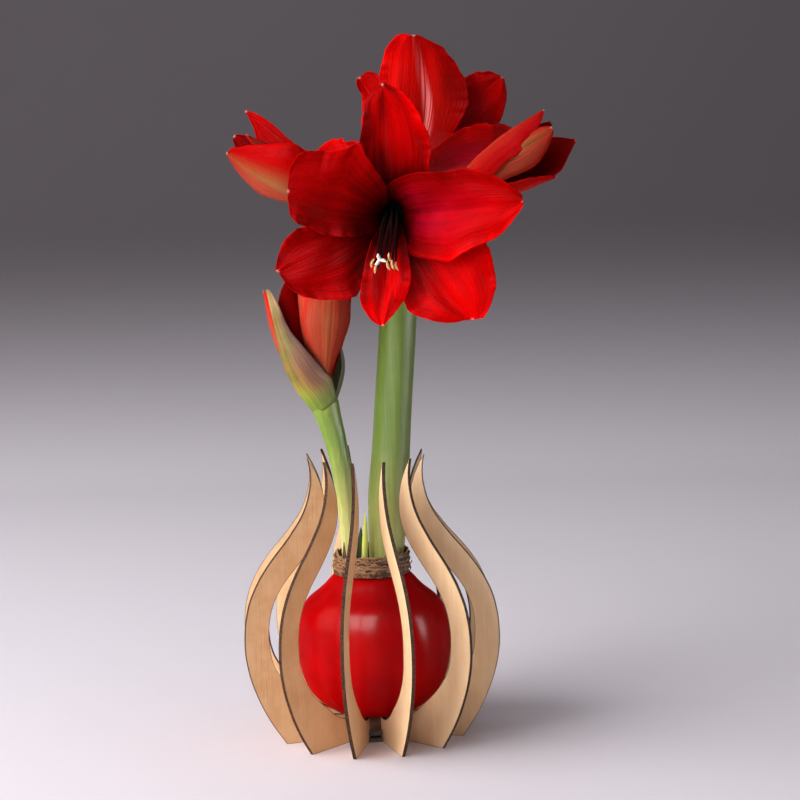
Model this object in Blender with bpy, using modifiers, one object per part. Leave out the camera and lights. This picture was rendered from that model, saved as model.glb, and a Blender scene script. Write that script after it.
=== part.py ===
"""A waxed amaryllis bulb in bloom, in a stand of slotted wooden fins.

Metres, +Z up. The origin is on the floor, on the stand's axis. The open front bloom looks
along -Y, and +X is to the viewer's right. The photograph's scale was set by the bulb, taken
as 96 mm across.
"""
import math
from collections import namedtuple

import bmesh
import bpy
from mathutils import Matrix, Vector

GAP = 0.0003                        # clearance between pieces that touch
UP = Vector((0.0, 0.0, 1.0))
FRONT = Vector((0.0, -1.0, 0.0))

# The stand
BOARD = 0.0021                      # thickness of the wooden board
FIN_COUNT = 12
FIRST_FIN = math.radians(-11.5)     # turn of the first fin from the front, towards +X
FIN_STEP = math.tau / FIN_COUNT
DISC_RADIUS = 0.0215
SLOT_FLOOR = 0.0195                 # radius where disc slots and fin notches meet
FIN_ROOT = 0.0174                   # the fins' inner ends
SHELF = 0.0150                      # height of the fins' flat seat for the bulb
LOWER_DISC = 0.0                    # undersides of the two discs
UPPER_DISC = 0.0044
# The fin's outer edge from foot to tip, and its inner edge from tip to seat: radius, height
FIN_OUTER = [(0.0575, 0.0), (0.0675, 0.0158), (0.0752, 0.0325), (0.0803, 0.0500),
             (0.0818, 0.0670), (0.0793, 0.0870), (0.0745, 0.0995), (0.0675, 0.1110),
             (0.0490, 0.1335), (0.0412, 0.1455), (0.0370, 0.1580), (0.0360, 0.1695)]
FIN_TIP = (0.0374, 0.1790)
FIN_INNER = [(0.0331, 0.1710), (0.0293, 0.1610), (0.0277, 0.1500), (0.0288, 0.1395),
             (0.0330, 0.1300), (0.0405, 0.1195), (0.0575, 0.0993), (0.0622, 0.0910),
             (0.0657, 0.0790), (0.0663, 0.0650), (0.0642, 0.0520), (0.0595, 0.0430),
             (0.0525, 0.0345), (0.0436, 0.0265), (0.0346, 0.0192), (0.0270, 0.0158)]
SEAT_OUT = 0.0220                   # radius where the flat seat begins

# The bulb in its wax, and its papery neck
BULB_AT = Vector((0.0019, 0.0, 0.0))
BULB_FOOT = SHELF + GAP
BULB_STEPS = 36
WAX_TOP = 0.1040
CORE_TOP = 0.1095                   # fleshy top of the bulb, inside the neck
CORE_RADIUS = 0.0212
SHARP = math.radians(40)            # edges sharper than this stay sharp in the shading
BULB_PROFILE = [(0.0235, WAX_TOP), (0.0262, 0.1022), (0.0305, 0.0990), (0.0365, 0.0940),
                (0.0420, 0.0876), (0.0458, 0.0790), (0.0477, 0.0700), (0.0482, 0.0605),
                (0.0476, 0.0500), (0.0454, 0.0400), (0.0410, 0.0306), (0.0345, 0.0232),
                (0.0270, 0.0179), (0.0215, BULB_FOOT + 0.0006), (0.0185, BULB_FOOT)]
NECK_OUT = 0.0240
NECK_WALL = 0.0020
NECK_TOP = 0.1170
NECK_STEPS = 28
SCALE_LAYERS = 4                    # steps in the neck's dry skins
SCALE_ROOT = 0.006                  # how deep a pointed scale is sunk in the neck

# Stems: route points and radii
STEM_FOOT = CORE_TOP + GAP
STEM_ROUTE = [(0.0110, 0.003, STEM_FOOT), (0.0134, 0.004, 0.149), (0.0162, 0.004, 0.181),
              (0.0190, 0.003, 0.215), (0.0222, 0.002, 0.250), (0.0245, 0.002, 0.282),
              (0.0250, 0.002, 0.306)]
STEM_RADII = [0.0107, 0.0126, 0.0119, 0.0116, 0.0115, 0.0114, 0.0118]
SIDE_ROUTE = [(-0.0118, -0.006, STEM_FOOT), (-0.0124, -0.008, 0.140),
              (-0.0140, -0.009, 0.166), (-0.0180, -0.010, 0.190), (-0.0212, -0.010, 0.2030),
              (-0.0236, -0.010, 0.2120)]
SIDE_RADII = [0.0043, 0.0050, 0.0061, 0.0068, 0.0078, 0.0090]
UMBEL = Vector((0.0250, 0.0, 0.3080))     # where the four stalks part
STALK_RADIUS = 0.0036
OVARY_RADIUS = 0.0050
OVARY_LENGTH = 0.0130

# Blooms
TEPAL_THICK = 0.0009
ROOT_HEIGHT = 0.0015                # height over a bloom's base where its tepals start
TIP_HALF = 0.0010                   # half width left at a tepal's very tip
OPEN_GRID = (8, 6)                  # rows and columns of an open bloom's tepal
SHUT_GRID = (6, 4)
VALVE_GRID = (8, 6)
LINE_STEPS = 36                     # steps that trace a tepal's middle line
TUBE_FOOT = 0.0055                  # radii and length of the solid tube at a bloom's base
TUBE_MOUTH = 0.0078
TUBE_LENGTH = 0.0120
TUBE_SIDES = 12
THREAD_RING = 0.0028                # circle that the filaments stand on
THREAD_RADIUS = 0.0008
STYLE_RADIUS = 0.0009
ANTHER_SIZE = (0.0030, 0.0013, 0.0013)
STIGMA_SIZE = (0.0022, 0.0022, 0.0016)

# A tepal. Turn is round the bloom's axis, and root is how far out from it the tepal starts. Lean
# is from that axis at the root and at the tip, and flare is where along the tepal it changes.
# Wrap is how far each half bends round the bloom at the root and at the tip, and unwrap is where
# that changes. Half is the widest half width, claw the root's share of it, and point shapes the
# tip from 0.5, round, to 1, pointed. Wave, waves and phase are its edge's ripple, and curl bends
# its last stretch. Angles are in degrees.
Tepal = namedtuple("Tepal", "turn root length half lean tip_lean flare wrap tip_wrap unwrap claw "
                            "point wave waves phase curl")
OUTER_ROOT = 0.0056
INNER_ROOT = 0.0042
OPEN_OUTER = Tepal(0, OUTER_ROOT, 0.100, 0.026, 18, 73, (0.06, 0.60), 50, 4, (0.02, 0.40), 0.18,
                   0.60, 0.0022, 2.6, 0.0, 18)
OPEN_INNER = OPEN_OUTER._replace(root=INNER_ROOT, length=0.096, half=0.025, lean=13, tip_lean=68,
                                 flare=(0.12, 0.66), wrap=56, tip_wrap=18, unwrap=(0.15, 0.90),
                                 claw=0.15, waves=2.8, phase=1.0, curl=14)
SHUT_OUTER = Tepal(0, OUTER_ROOT, 0.080, 0.017, 20, 3, (0.10, 0.80), 56, 58, (0.05, 0.60), 0.18,
                   0.80, 0.0, 2.0, 0.0, 0)
SHUT_INNER = SHUT_OUTER._replace(root=INNER_ROOT, length=0.076, half=0.015, lean=16, wrap=56,
                                 tip_wrap=60, claw=0.15, point=0.75)

COLOURS = {
    "wood": ((0.62, 0.42, 0.26), 0.60),
    "red_wax": ((0.42, 0.004, 0.012), 0.22),
    "dry_scale": ((0.16, 0.075, 0.035), 0.80),
    "green_stem": ((0.20, 0.34, 0.07), 0.45),
    "pale_stem": ((0.42, 0.52, 0.12), 0.45),
    "dark_leaf": ((0.10, 0.20, 0.03), 0.50),
    "yellow_leaf": ((0.62, 0.60, 0.12), 0.50),
    "red_tepal": ((0.60, 0.004, 0.008), 0.45),
    "spathe": ((0.38, 0.28, 0.09), 0.60),
}


def clear_scene():
    """Removes every object the file opened with."""
    for item in list(bpy.data.objects):
        bpy.data.objects.remove(item, do_unlink=True)


def collection_named(name):
    """A new collection linked to the scene."""
    group = bpy.data.collections.new(name)
    bpy.context.scene.collection.children.link(group)
    return group


def material_named(name):
    """The Principled material of one of the object's colours."""
    found = bpy.data.materials.get(name)
    if found:
        return found
    colour, roughness = COLOURS[name]
    made = bpy.data.materials.new(name)
    made.use_nodes = True
    shader = made.node_tree.nodes["Principled BSDF"]
    shader.inputs["Base Color"].default_value = (*colour, 1.0)
    shader.inputs["Roughness"].default_value = roughness
    shader.inputs["Metallic"].default_value = 0.0
    return made


def add_object(name, data, material):
    """Links a named object with its material to the part's collection."""
    item = bpy.data.objects.new(name, data)
    if not data.materials:
        data.materials.append(material_named(material))
    PARTS.objects.link(item)
    return item


def object_from_bmesh(name, shape, material):
    """A named object from a bmesh, with its faces pointing outwards."""
    bmesh.ops.recalc_face_normals(shape, faces=shape.faces)
    mesh = bpy.data.meshes.new(name)
    shape.to_mesh(mesh)
    shape.free()
    return add_object(name, mesh, material)


def as_mesh(item, weld=True):
    """Turns a curve or a modified object into a plain mesh of the same name and place."""
    bpy.context.view_layer.update()
    graph = bpy.context.evaluated_depsgraph_get()
    mesh = bpy.data.meshes.new_from_object(item.evaluated_get(graph))
    if weld:
        shape = bmesh.new()
        shape.from_mesh(mesh)
        bmesh.ops.remove_doubles(shape, verts=shape.verts, dist=0.00001)
        bmesh.ops.recalc_face_normals(shape, faces=shape.faces)
        shape.to_mesh(mesh)
        shape.free()
    name, place = item.name, item.matrix_world.copy()
    bpy.data.objects.remove(item, do_unlink=True)
    made = bpy.data.objects.new(name, mesh)
    made.matrix_world = place
    PARTS.objects.link(made)
    return made


def join_all(base, others):
    """One Boolean union of a piece with all that grows from it."""
    group = collection_named(base.name + "_repeats")
    for item in others:
        PARTS.objects.unlink(item)
        group.objects.link(item)
    union = base.modifiers.new("union", "BOOLEAN")
    union.operation = "UNION"
    union.operand_type = "COLLECTION"
    union.collection = group
    union.solver = "MANIFOLD"
    joined = as_mesh(base, weld=False)
    for item in others:
        bpy.data.objects.remove(item, do_unlink=True)
    bpy.data.collections.remove(group)
    return joined


def smooth_route(points, steps):
    """Points along a smooth curve through the given ones, steps to a stretch."""
    ends = [2 * points[0] - points[1], *points, 2 * points[-1] - points[-2]]
    route = []
    for before, start, end, after in zip(ends, ends[1:], ends[2:], ends[3:]):
        for step in range(steps):
            t = step / steps
            route.append(0.5 * (2 * start + (end - before) * t
                                + (2 * before - 5 * start + 4 * end - after) * t * t
                                + (3 * start - before - 3 * end + after) * t ** 3))
    route.append(points[-1])
    return route


def tube(name, points, radii, material, rings=3, resolution=2):
    """A round stem, a curve with filled caps, through points with a radius at each."""
    both = [Vector((*point, radius)) for point, radius in zip(points, radii)]
    route = smooth_route(both, rings)
    curve = bpy.data.curves.new(name, "CURVE")
    curve.dimensions = "3D"
    curve.bevel_depth = 1.0
    curve.bevel_resolution = resolution
    curve.use_fill_caps = True
    spline = curve.splines.new("POLY")
    spline.points.add(len(route) - 1)
    for point, place in zip(spline.points, route):
        point.co = (place.x, place.y, place.z, 1.0)
        point.radius = place.w
    return add_object(name, curve, material)


def level_foot(item, height):
    """Cuts a stem's foot level, so that it stands flat at a height."""
    for vertex in item.data.vertices:
        if vertex.co.z < height + 0.002:
            vertex.co.z = height


def flat_outline(name, corners, material):
    """A flat board cut to a closed outline: points with True where the edge runs smooth."""
    curve = bpy.data.curves.new(name, "CURVE")
    curve.dimensions = "2D"
    curve.fill_mode = "BOTH"
    curve.extrude = BOARD / 2
    curve.resolution_u = 2
    curve.render_resolution_u = 0
    spline = curve.splines.new("BEZIER")
    spline.bezier_points.add(len(corners) - 1)
    spline.use_cyclic_u = True
    for point, (x, y, smooth) in zip(spline.bezier_points, corners):
        point.co = (x, y, 0.0)
        point.handle_left_type = "AUTO" if smooth else "VECTOR"
        point.handle_right_type = point.handle_left_type
    curve.materials.append(material_named(material))
    return curve


def fin_outline():
    """The fin's edge: outer side, tip, inner side, seat and the notches for both discs."""
    root, floor = FIN_ROOT, SLOT_FLOOR + GAP / 2
    line = [(r, z, index > 0) for index, (r, z) in enumerate(FIN_OUTER)]
    line.append((*FIN_TIP, False))
    line += [(r, z, True) for r, z in FIN_INNER]
    line += [(SEAT_OUT, SHELF, False), (root, SHELF, False)]
    notch_top = UPPER_DISC + BOARD + GAP
    line += [(root, notch_top, False), (floor, notch_top, False)]
    line += [(floor, UPPER_DISC - GAP, False), (root, UPPER_DISC - GAP, False)]
    foot_top = LOWER_DISC + BOARD + GAP
    line += [(root, foot_top, False), (floor, foot_top, False), (floor, 0.0, False)]
    return line


def build_fins():
    """Twelve equal fins round the axis, each its own piece."""
    outline = flat_outline("fin", fin_outline(), "wood")
    for index in range(FIN_COUNT):
        fin = add_object(f"fin_{index + 1:02d}", outline, "wood")
        turn = FIRST_FIN + FIN_STEP * index
        fin.rotation_euler = (math.pi / 2, 0.0, turn - math.pi / 2)


def build_disc(name, height):
    """A disc with a slot in its rim for each fin."""
    half = BOARD / 2 + GAP
    rim = math.sqrt(DISC_RADIUS ** 2 - half ** 2)
    root = SLOT_FLOOR - GAP / 2
    side = math.asin(half / DISC_RADIUS)
    line = []
    for index in range(FIN_COUNT):
        turn = FIRST_FIN + FIN_STEP * index - math.pi / 2
        spot = Matrix.Rotation(turn, 2)
        for x, y in ((rim, -half), (root, -half), (root, half), (rim, half)):
            line.append((*(spot @ Vector((x, y))), False))
        for share in (0.25, 0.5, 0.75):
            arc = turn + side + share * (FIN_STEP - 2 * side)
            line.append((DISC_RADIUS * math.cos(arc), DISC_RADIUS * math.sin(arc), False))
    disc = add_object(name, flat_outline(name, line, "wood"), "wood")
    disc.data.resolution_u = 1
    disc.location.z = height + BOARD / 2


def turned(name, profile, steps, material, closed=False):
    """A turned solid: a profile of radius and height, run round the Z axis."""
    mesh = bpy.data.meshes.new(name)
    count = len(profile)
    edges = [(i, i + 1) for i in range(count - 1)]
    if closed:
        edges.append((count - 1, 0))
    mesh.from_pydata([(r, 0.0, z) for r, z in profile], edges, [])
    item = add_object(name, mesh, material)
    screw = item.modifiers.new("turn", "SCREW")
    screw.angle = math.tau
    screw.steps = steps
    screw.render_steps = steps
    screw.use_merge_vertices = True
    screw.merge_threshold = 0.00001
    return item


def build_bulb():
    """The waxed bulb: round body, flat foot, and a short core that the neck stands round."""
    core = [(0.0, CORE_TOP), (CORE_RADIUS - 0.0015, CORE_TOP), (CORE_RADIUS, CORE_TOP - 0.0015),
            (CORE_RADIUS, WAX_TOP)]
    bulb = turned("waxed_bulb", core + BULB_PROFILE + [(0.0, BULB_FOOT)], BULB_STEPS, "red_wax")
    bulb.location = BULB_AT
    bulb = as_mesh(bulb)
    bulb.data.shade_smooth()
    bulb.data.set_sharp_from_angle(angle=SHARP)


def scale_tip(name, turn, height, half):
    """A pointed dry scale that stands up from the neck's rim, its root sunk in the wall."""
    shape = bmesh.new()
    radius = NECK_OUT - NECK_WALL * 0.6
    depth = height + SCALE_ROOT
    middle = NECK_TOP - SCALE_ROOT + depth / 2
    bmesh.ops.create_cone(shape, cap_ends=True, segments=5, radius1=half, radius2=half * 0.15, depth=depth)
    place = Matrix.Rotation(turn, 4, "Z") @ Matrix.Translation((0.0, -radius, middle))
    flat = Matrix.Diagonal((1.0, 0.45, 1.0, 1.0))
    bmesh.ops.transform(shape, matrix=place @ flat, verts=shape.verts)
    return object_from_bmesh(name, shape, "dry_scale")


def build_neck():
    """The ring of dry skins: stepped outside, ragged along its top, with a few pointed tips."""
    low = WAX_TOP + GAP
    rise = (NECK_TOP - low) / SCALE_LAYERS
    outer = []
    for layer in reversed(range(SCALE_LAYERS)):
        foot = low + rise * layer
        back = 0.0004 * layer
        outer.append((NECK_OUT + 0.0004 - back, foot + rise * 0.92))
        outer.append((NECK_OUT - 0.0006 - back, foot))
    inner = NECK_OUT - NECK_WALL
    profile = [(inner, NECK_TOP - 0.0006)] + outer + [(inner, low)]
    ring = turned("bulb_neck", profile, NECK_STEPS, "dry_scale", closed=True)
    ring = as_mesh(ring)
    for vertex in ring.data.vertices:
        turn = math.atan2(vertex.co.y, vertex.co.x)
        share = (vertex.co.z - low) / (NECK_TOP - low)
        ragged = 0.0007 * math.sin(5 * turn + 1.0) + 0.0005 * math.sin(11 * turn)
        vertex.co.z += share ** 3 * ragged
        swell = 1.0 + 0.012 * share * math.sin(3 * turn + 0.4)
        vertex.co.x *= swell
        vertex.co.y *= swell
    tips = [scale_tip("tip_a", math.radians(-38), 0.009, 0.0019),
            scale_tip("tip_b", math.radians(62), 0.0025, 0.0026),
            scale_tip("tip_c", math.radians(170), 0.004, 0.0024)]
    neck = join_all(ring, tips)
    neck.location = BULB_AT


def leaf_tip(name, foot, top, half, material):
    """A young leaf's pointed tip, a flat blade standing on the bulb's core."""
    middle = [foot, foot.lerp(top, 0.55), foot.lerp(top, 0.9), top]
    leaf = tube(name, middle, [half, half * 0.9, half * 0.4, half * 0.08], material, 2, 1)
    flat = Matrix.Diagonal((1.0, 0.5, 1.0, 1.0))
    spot = Matrix.Translation(foot)
    leaf = as_mesh(leaf)
    leaf.data.transform(spot @ flat @ spot.inverted())
    level_foot(leaf, foot.z)


def build_leaves():
    """Two short leaf tips between the stems."""
    leaf_tip("leaf_tip_yellow", Vector((-0.0024, -0.0100, STEM_FOOT)),
             Vector((-0.0008, -0.0105, 0.1430)), 0.0019, "yellow_leaf")
    leaf_tip("leaf_tip_green", Vector((-0.0058, -0.0020, STEM_FOOT)),
             Vector((-0.0040, -0.0020, 0.1330)), 0.0018, "dark_leaf")


def smoothstep(start, end, value):
    """Rises from 0 to 1 between start and end."""
    share = min(1.0, max(0.0, (value - start) / (end - start)))
    return share * share * (3.0 - 2.0 * share)


def middle_line(tepal):
    """The tepal's middle line: distance out, height and lean at even steps along it."""
    out = tepal.root
    up = ROOT_HEIGHT
    line = []
    for step in range(LINE_STEPS + 1):
        along = step / LINE_STEPS
        lean = tepal.lean + (tepal.tip_lean - tepal.lean) * smoothstep(*tepal.flare, along)
        lean = math.radians(lean + tepal.curl * smoothstep(0.72, 1.0, along))
        line.append((out, up, lean))
        out += math.sin(lean) * tepal.length / LINE_STEPS
        up += math.cos(lean) * tepal.length / LINE_STEPS
    return line


def tepal_width(tepal, along):
    """Half width of the tepal: narrow claw, broad blade, rounded or pointed tip."""
    blade = tepal.claw + (1.0 - tepal.claw) * smoothstep(0.0, 0.58, along)
    tip = max(0.0, 1.0 - along ** 4.5) ** tepal.point
    return tepal.half * blade * tip + TIP_HALF


def tepal_point(tepal, line, along, across):
    """A point of the tepal's middle surface in the bloom's frame, +Z along the bloom's axis."""
    spot = along * LINE_STEPS
    low = min(int(spot), LINE_STEPS - 1)
    share = spot - low
    out, up, lean = (a + (b - a) * share for a, b in zip(line[low], line[low + 1]))
    half = tepal_width(tepal, along)
    wrap = tepal.wrap + (tepal.tip_wrap - tepal.wrap) * smoothstep(*tepal.unwrap, along)
    wrap = math.radians(wrap)
    bend = wrap * across
    side = math.sin(bend) * half / wrap
    lift = (1.0 - math.cos(bend)) * half / wrap
    turn = tepal.waves * math.tau * along + tepal.phase + (1.9 if across > 0 else 0.0)
    lift += tepal.wave * across * across * smoothstep(0.2, 0.55, along) * math.sin(turn)
    place = Vector((out - math.cos(lean) * lift, side, up + math.sin(lean) * lift))
    return Matrix.Rotation(math.radians(tepal.turn), 3, "Z") @ place


def tepal_object(name, tepal, place, size):
    """One tepal as a closed blade, split into triangles alike on both faces."""
    line = middle_line(tepal)
    rows, across_count = size
    shape = bmesh.new()
    grid = []
    columns = [2.0 * column / across_count - 1.0 for column in range(across_count + 1)]
    for row in range(rows + 1):
        along = (row / rows) ** 0.9
        grid.append([shape.verts.new(place @ tepal_point(tepal, line, along, across))
                     for across in columns])
    for lower, upper in zip(grid, grid[1:]):
        for a, b, c, d in zip(lower, lower[1:], upper[1:], upper):
            shape.faces.new((a, b, c))
            shape.faces.new((a, c, d))
    mesh = bpy.data.meshes.new(name)
    shape.to_mesh(mesh)
    shape.free()
    item = add_object(name, mesh, "red_tepal")
    wall = item.modifiers.new("thickness", "SOLIDIFY")
    wall.thickness = TEPAL_THICK
    wall.offset = 0.0
    return as_mesh(item)


def bloom_frame(base, aim, top=UP):
    """The bloom's placing: +Z along its aim, and +X as near to top as it can be."""
    forward = aim.normalized()
    top = (top - forward * forward.dot(top)).normalized()
    turn = Matrix((top, forward.cross(top), forward)).transposed().to_4x4()
    return Matrix.Translation(base) @ turn


def bloom_tube(name, place, share=1.0):
    """The solid tube at a bloom's base that its tepals grow from."""
    shape = bmesh.new()
    bmesh.ops.create_cone(shape, cap_ends=True, segments=TUBE_SIDES, radius1=TUBE_FOOT * share,
                          radius2=TUBE_MOUTH * share, depth=TUBE_LENGTH)
    place = place @ Matrix.Translation((0.0, 0.0, TUBE_LENGTH / 2))
    bmesh.ops.transform(shape, matrix=place, verts=shape.verts)
    return object_from_bmesh(name, shape, "red_tepal")


def thread(name, place, ring, turn, reach, fan, drop, radius, head_size):
    """A filament or the style: a thin bent stem with its head, sunk in the bloom's tube."""
    root = Vector((ring * math.cos(turn), ring * math.sin(turn), TUBE_LENGTH - 0.002))
    points = [root, Vector((root.x + drop * 0.35, root.y + fan * 0.3, reach * 0.45)),
              Vector((drop, fan * 0.8, reach * 0.8)), Vector((drop * 0.93, fan, reach))]
    points = [place @ point for point in points]
    stalk = as_mesh(tube(name, points, [radius] * 4, "red_tepal", 1, 0))
    shape = bmesh.new()
    bmesh.ops.create_icosphere(shape, subdivisions=1, radius=1.0)
    spot = Matrix.Translation(points[-1]) @ place.to_3x3().to_4x4() @ Matrix.Diagonal((*head_size, 1.0))
    bmesh.ops.transform(shape, matrix=spot, verts=shape.verts)
    return [stalk, object_from_bmesh(name + "_head", shape, "red_tepal")]


def stamens(name, place, reach, droop):
    """Six filaments with anthers, and a longer style with its stigma."""
    made = thread(name + "_style", place, 0.0, 0.0, reach * 1.08, 0.0, -droop - 0.002, STYLE_RADIUS,
                  STIGMA_SIZE)
    for index in range(6):
        turn = math.tau * index / 6
        length = reach * (0.93 + 0.05 * (index % 3))
        drop = 0.0035 * math.cos(turn) - droop
        made += thread(f"{name}_{index}", place, THREAD_RING, turn, length, 0.0075 * math.sin(turn), drop,
                       THREAD_RADIUS, ANTHER_SIZE)
    return made


def build_bloom(name, base, aim, tepals, size, threads=None):
    """A bloom: its tube, tepals and stamens joined in one solid."""
    place = bloom_frame(base, aim)
    grown = [tepal_object(name + "_tepal", tepal, place, size) for tepal in tepals]
    if threads:
        grown += stamens(name + "_thread", place, *threads)
    return join_all(bloom_tube(name, place), grown)


FRONT_BASE = Vector((0.0225, -0.0370, 0.3310))
FRONT_AIM = Vector((-0.04, -0.985, -0.10))
REAR_BASE = Vector((0.0290, 0.0300, 0.3350))
REAR_AIM = Vector((0.24, 0.78, 0.58))
LEFT_BASE = Vector((-0.0090, -0.0040, 0.3370))
LEFT_AIM = Vector((-0.89, -0.14, 0.42))
RIGHT_BASE = Vector((0.0590, -0.0030, 0.3370))
RIGHT_AIM = Vector((0.87, -0.10, 0.46))

# Turns run from the top towards the left on the front bloom, towards the right on the rear
# one, and towards the viewer on the right one and away from the viewer on the left one
FRONT_TEPALS = [
    OPEN_OUTER._replace(turn=1, length=0.102, half=0.0255, point=0.72, phase=0.6, curl=4),
    OPEN_OUTER._replace(turn=111, length=0.089, half=0.0265, phase=2.0),
    OPEN_OUTER._replace(turn=226, length=0.096, half=0.0285, phase=1.2, point=0.5),
    OPEN_INNER._replace(turn=60, length=0.091, half=0.0290, phase=2.7, point=0.5),
    OPEN_INNER._replace(turn=173, length=0.083, half=0.0175, phase=0.5, point=0.9),
    OPEN_INNER._replace(turn=279, length=0.1065, half=0.0265, phase=3.0),
]
REAR_TEPALS = [
    OPEN_OUTER._replace(turn=8, length=0.1055, half=0.0285, phase=0.3, point=0.5),
    OPEN_OUTER._replace(turn=98, length=0.0945, half=0.0260),
    OPEN_OUTER._replace(turn=260, length=0.094, half=0.0250, phase=-0.2),
    OPEN_INNER._replace(turn=53, length=0.1025, half=0.0240, phase=1.2, point=0.5),
    OPEN_INNER._replace(turn=180, length=0.090),
    OPEN_INNER._replace(turn=322, length=0.0845, half=0.0190, phase=0.9, point=0.5),
]
LEFT_TEPALS = [
    SHUT_OUTER._replace(turn=332, tip_lean=18, length=0.0795, half=0.0215, wrap=50, tip_wrap=35),
    SHUT_OUTER._replace(turn=113, length=0.075),
    SHUT_OUTER._replace(turn=226, tip_lean=-6, length=0.0735, half=0.0190),
    SHUT_INNER._replace(turn=62, length=0.070),
    SHUT_INNER._replace(turn=181, length=0.0705),
    SHUT_INNER._replace(turn=291, length=0.0725),
]
RIGHT_TEPALS = [
    SHUT_OUTER._replace(turn=25, tip_lean=10, length=0.075, half=0.0190),
    SHUT_OUTER._replace(turn=117, tip_lean=8, length=0.074, half=0.0180),
    SHUT_OUTER._replace(turn=234, tip_lean=-4, length=0.081, half=0.0180, tip_wrap=40),
    SHUT_INNER._replace(turn=311, tip_lean=8, length=0.0745),
    SHUT_INNER._replace(turn=173, tip_lean=6, length=0.074),
    SHUT_INNER._replace(turn=71, tip_lean=6, length=0.0695),
]
BLOOM_SEATS = {"front": (FRONT_BASE, FRONT_AIM), "rear": (REAR_BASE, REAR_AIM),
               "left": (LEFT_BASE, LEFT_AIM), "right": (RIGHT_BASE, RIGHT_AIM)}


def build_flower_stem():
    """The main stem with its four stalks and the ovaries at their ends."""
    stem = as_mesh(tube("flower_stem", [Vector(p) for p in STEM_ROUTE], STEM_RADII, "green_stem", 2, 6))
    level_foot(stem, STEM_FOOT)
    grown = []
    for name, (base, aim) in BLOOM_SEATS.items():
        aim = aim.normalized()
        end = base - aim * GAP
        foot = end - aim * OVARY_LENGTH
        low = UMBEL - Vector((0, 0, 0.006))
        middle = low.lerp(foot, 0.5) + Vector((0, 0, 0.003))
        points = [low, middle, foot, end - aim * 0.006, end]
        radii = [STALK_RADIUS, STALK_RADIUS, STALK_RADIUS, OVARY_RADIUS, OVARY_RADIUS * 0.9]
        grown.append(as_mesh(tube("stalk_" + name, points, radii, "green_stem", 2, 2)))
    join_all(stem, grown)


def build_side_stem():
    """The thinner stem on the left, which carries the spathe."""
    stem = as_mesh(tube("side_stem", [Vector(p) for p in SIDE_ROUTE], SIDE_RADII, "pale_stem", 2, 4))
    level_foot(stem, STEM_FOOT)
    stem.data.shade_smooth()


SPATHE_AIM = Vector((-0.30, 0.0, 0.95))
SPATHE_CLEAR = 0.0007               # the cup's foot leans a little more than the stem's end
SPATHE_BASE = Vector(SIDE_ROUTE[-1]) + SPATHE_AIM.normalized() * SPATHE_CLEAR
SPATHE_FOOT = 0.0091
SPATHE_MOUTH = 0.0102
SPATHE_CUP = 0.0080                 # height of the cup that the valves grow from
# Turns of the valves and buds run from the front towards the right
VALVES = [
    Tepal(314, 0.0093, 0.076, 0.0185, 12, 0, (0.2, 0.8), 84, 60, (0.05, 0.6), 0.80, 1.1,
          0.0, 2.0, 0.0, 0),
    Tepal(95, 0.0094, 0.036, 0.0105, 37, 24, (0.2, 0.7), 60, 46, (0.05, 0.6), 0.60, 1.0,
          0.0, 2.0, 0.0, 0),
]
BUD_BASE = Vector((-0.0246, -0.0105, 0.2227))
BUD_AIM = Vector((0.058, 0.0, 1.0))
SMALL_BUD_BASE = Vector((-0.0278, -0.0056, 0.2210))
SMALL_BUD_AIM = Vector((-0.30, 0.20, 0.94))
BUD_SHARE = 0.76                    # width of the buds' tubes, against a bloom's
SMALL_BUD_SHARE = 0.64
BUD_TEPALS = [
    SHUT_OUTER._replace(turn=15, length=0.0805, half=0.0170, lean=15, tip_lean=6),
    SHUT_OUTER._replace(turn=137, half=0.0170, lean=15, tip_lean=6),
    SHUT_OUTER._replace(turn=255, length=0.0805, half=0.0160, lean=15, tip_lean=6),
    SHUT_INNER._replace(turn=73, length=0.0765, lean=13, tip_lean=6),
    SHUT_INNER._replace(turn=195, length=0.0765, lean=13, tip_lean=6),
    SHUT_INNER._replace(turn=316, length=0.075, lean=13, tip_lean=6),
]
SMALL_BUD_TEPALS = [
    SHUT_OUTER._replace(turn=248, length=0.0615, half=0.0110, lean=12),
    SHUT_OUTER._replace(turn=160, length=0.065, half=0.0115, lean=12),
    SHUT_INNER._replace(turn=205, length=0.0585, half=0.0105, lean=10),
]


def build_spathe():
    """The papery valves that held the side stem's buds, on a short cup."""
    place = bloom_frame(SPATHE_BASE, SPATHE_AIM, FRONT)
    valves = [tepal_object("valve", valve, place, VALVE_GRID) for valve in VALVES]
    shape = bmesh.new()
    bmesh.ops.create_cone(shape, cap_ends=True, segments=16, radius1=SPATHE_FOOT,
                          radius2=SPATHE_MOUTH, depth=SPATHE_CUP)
    place = place @ Matrix.Translation((0.0, 0.0, SPATHE_CUP / 2))
    bmesh.ops.transform(shape, matrix=place, verts=shape.verts)
    cup = object_from_bmesh("spathe", shape, "spathe")
    join_all(cup, valves)


def build_buds():
    """Two buds between the valves, one half open and one smaller that shows its inside."""
    large = bloom_frame(BUD_BASE, BUD_AIM, FRONT)
    small = bloom_frame(SMALL_BUD_BASE, SMALL_BUD_AIM, FRONT)
    grown = [bloom_tube("small_bud", small, SMALL_BUD_SHARE)]
    for place, tepals in ((large, BUD_TEPALS), (small, SMALL_BUD_TEPALS)):
        grown += [tepal_object("bud_tepal", tepal, place, SHUT_GRID) for tepal in tepals]
    join_all(bloom_tube("side_buds", large, BUD_SHARE), grown)


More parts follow.
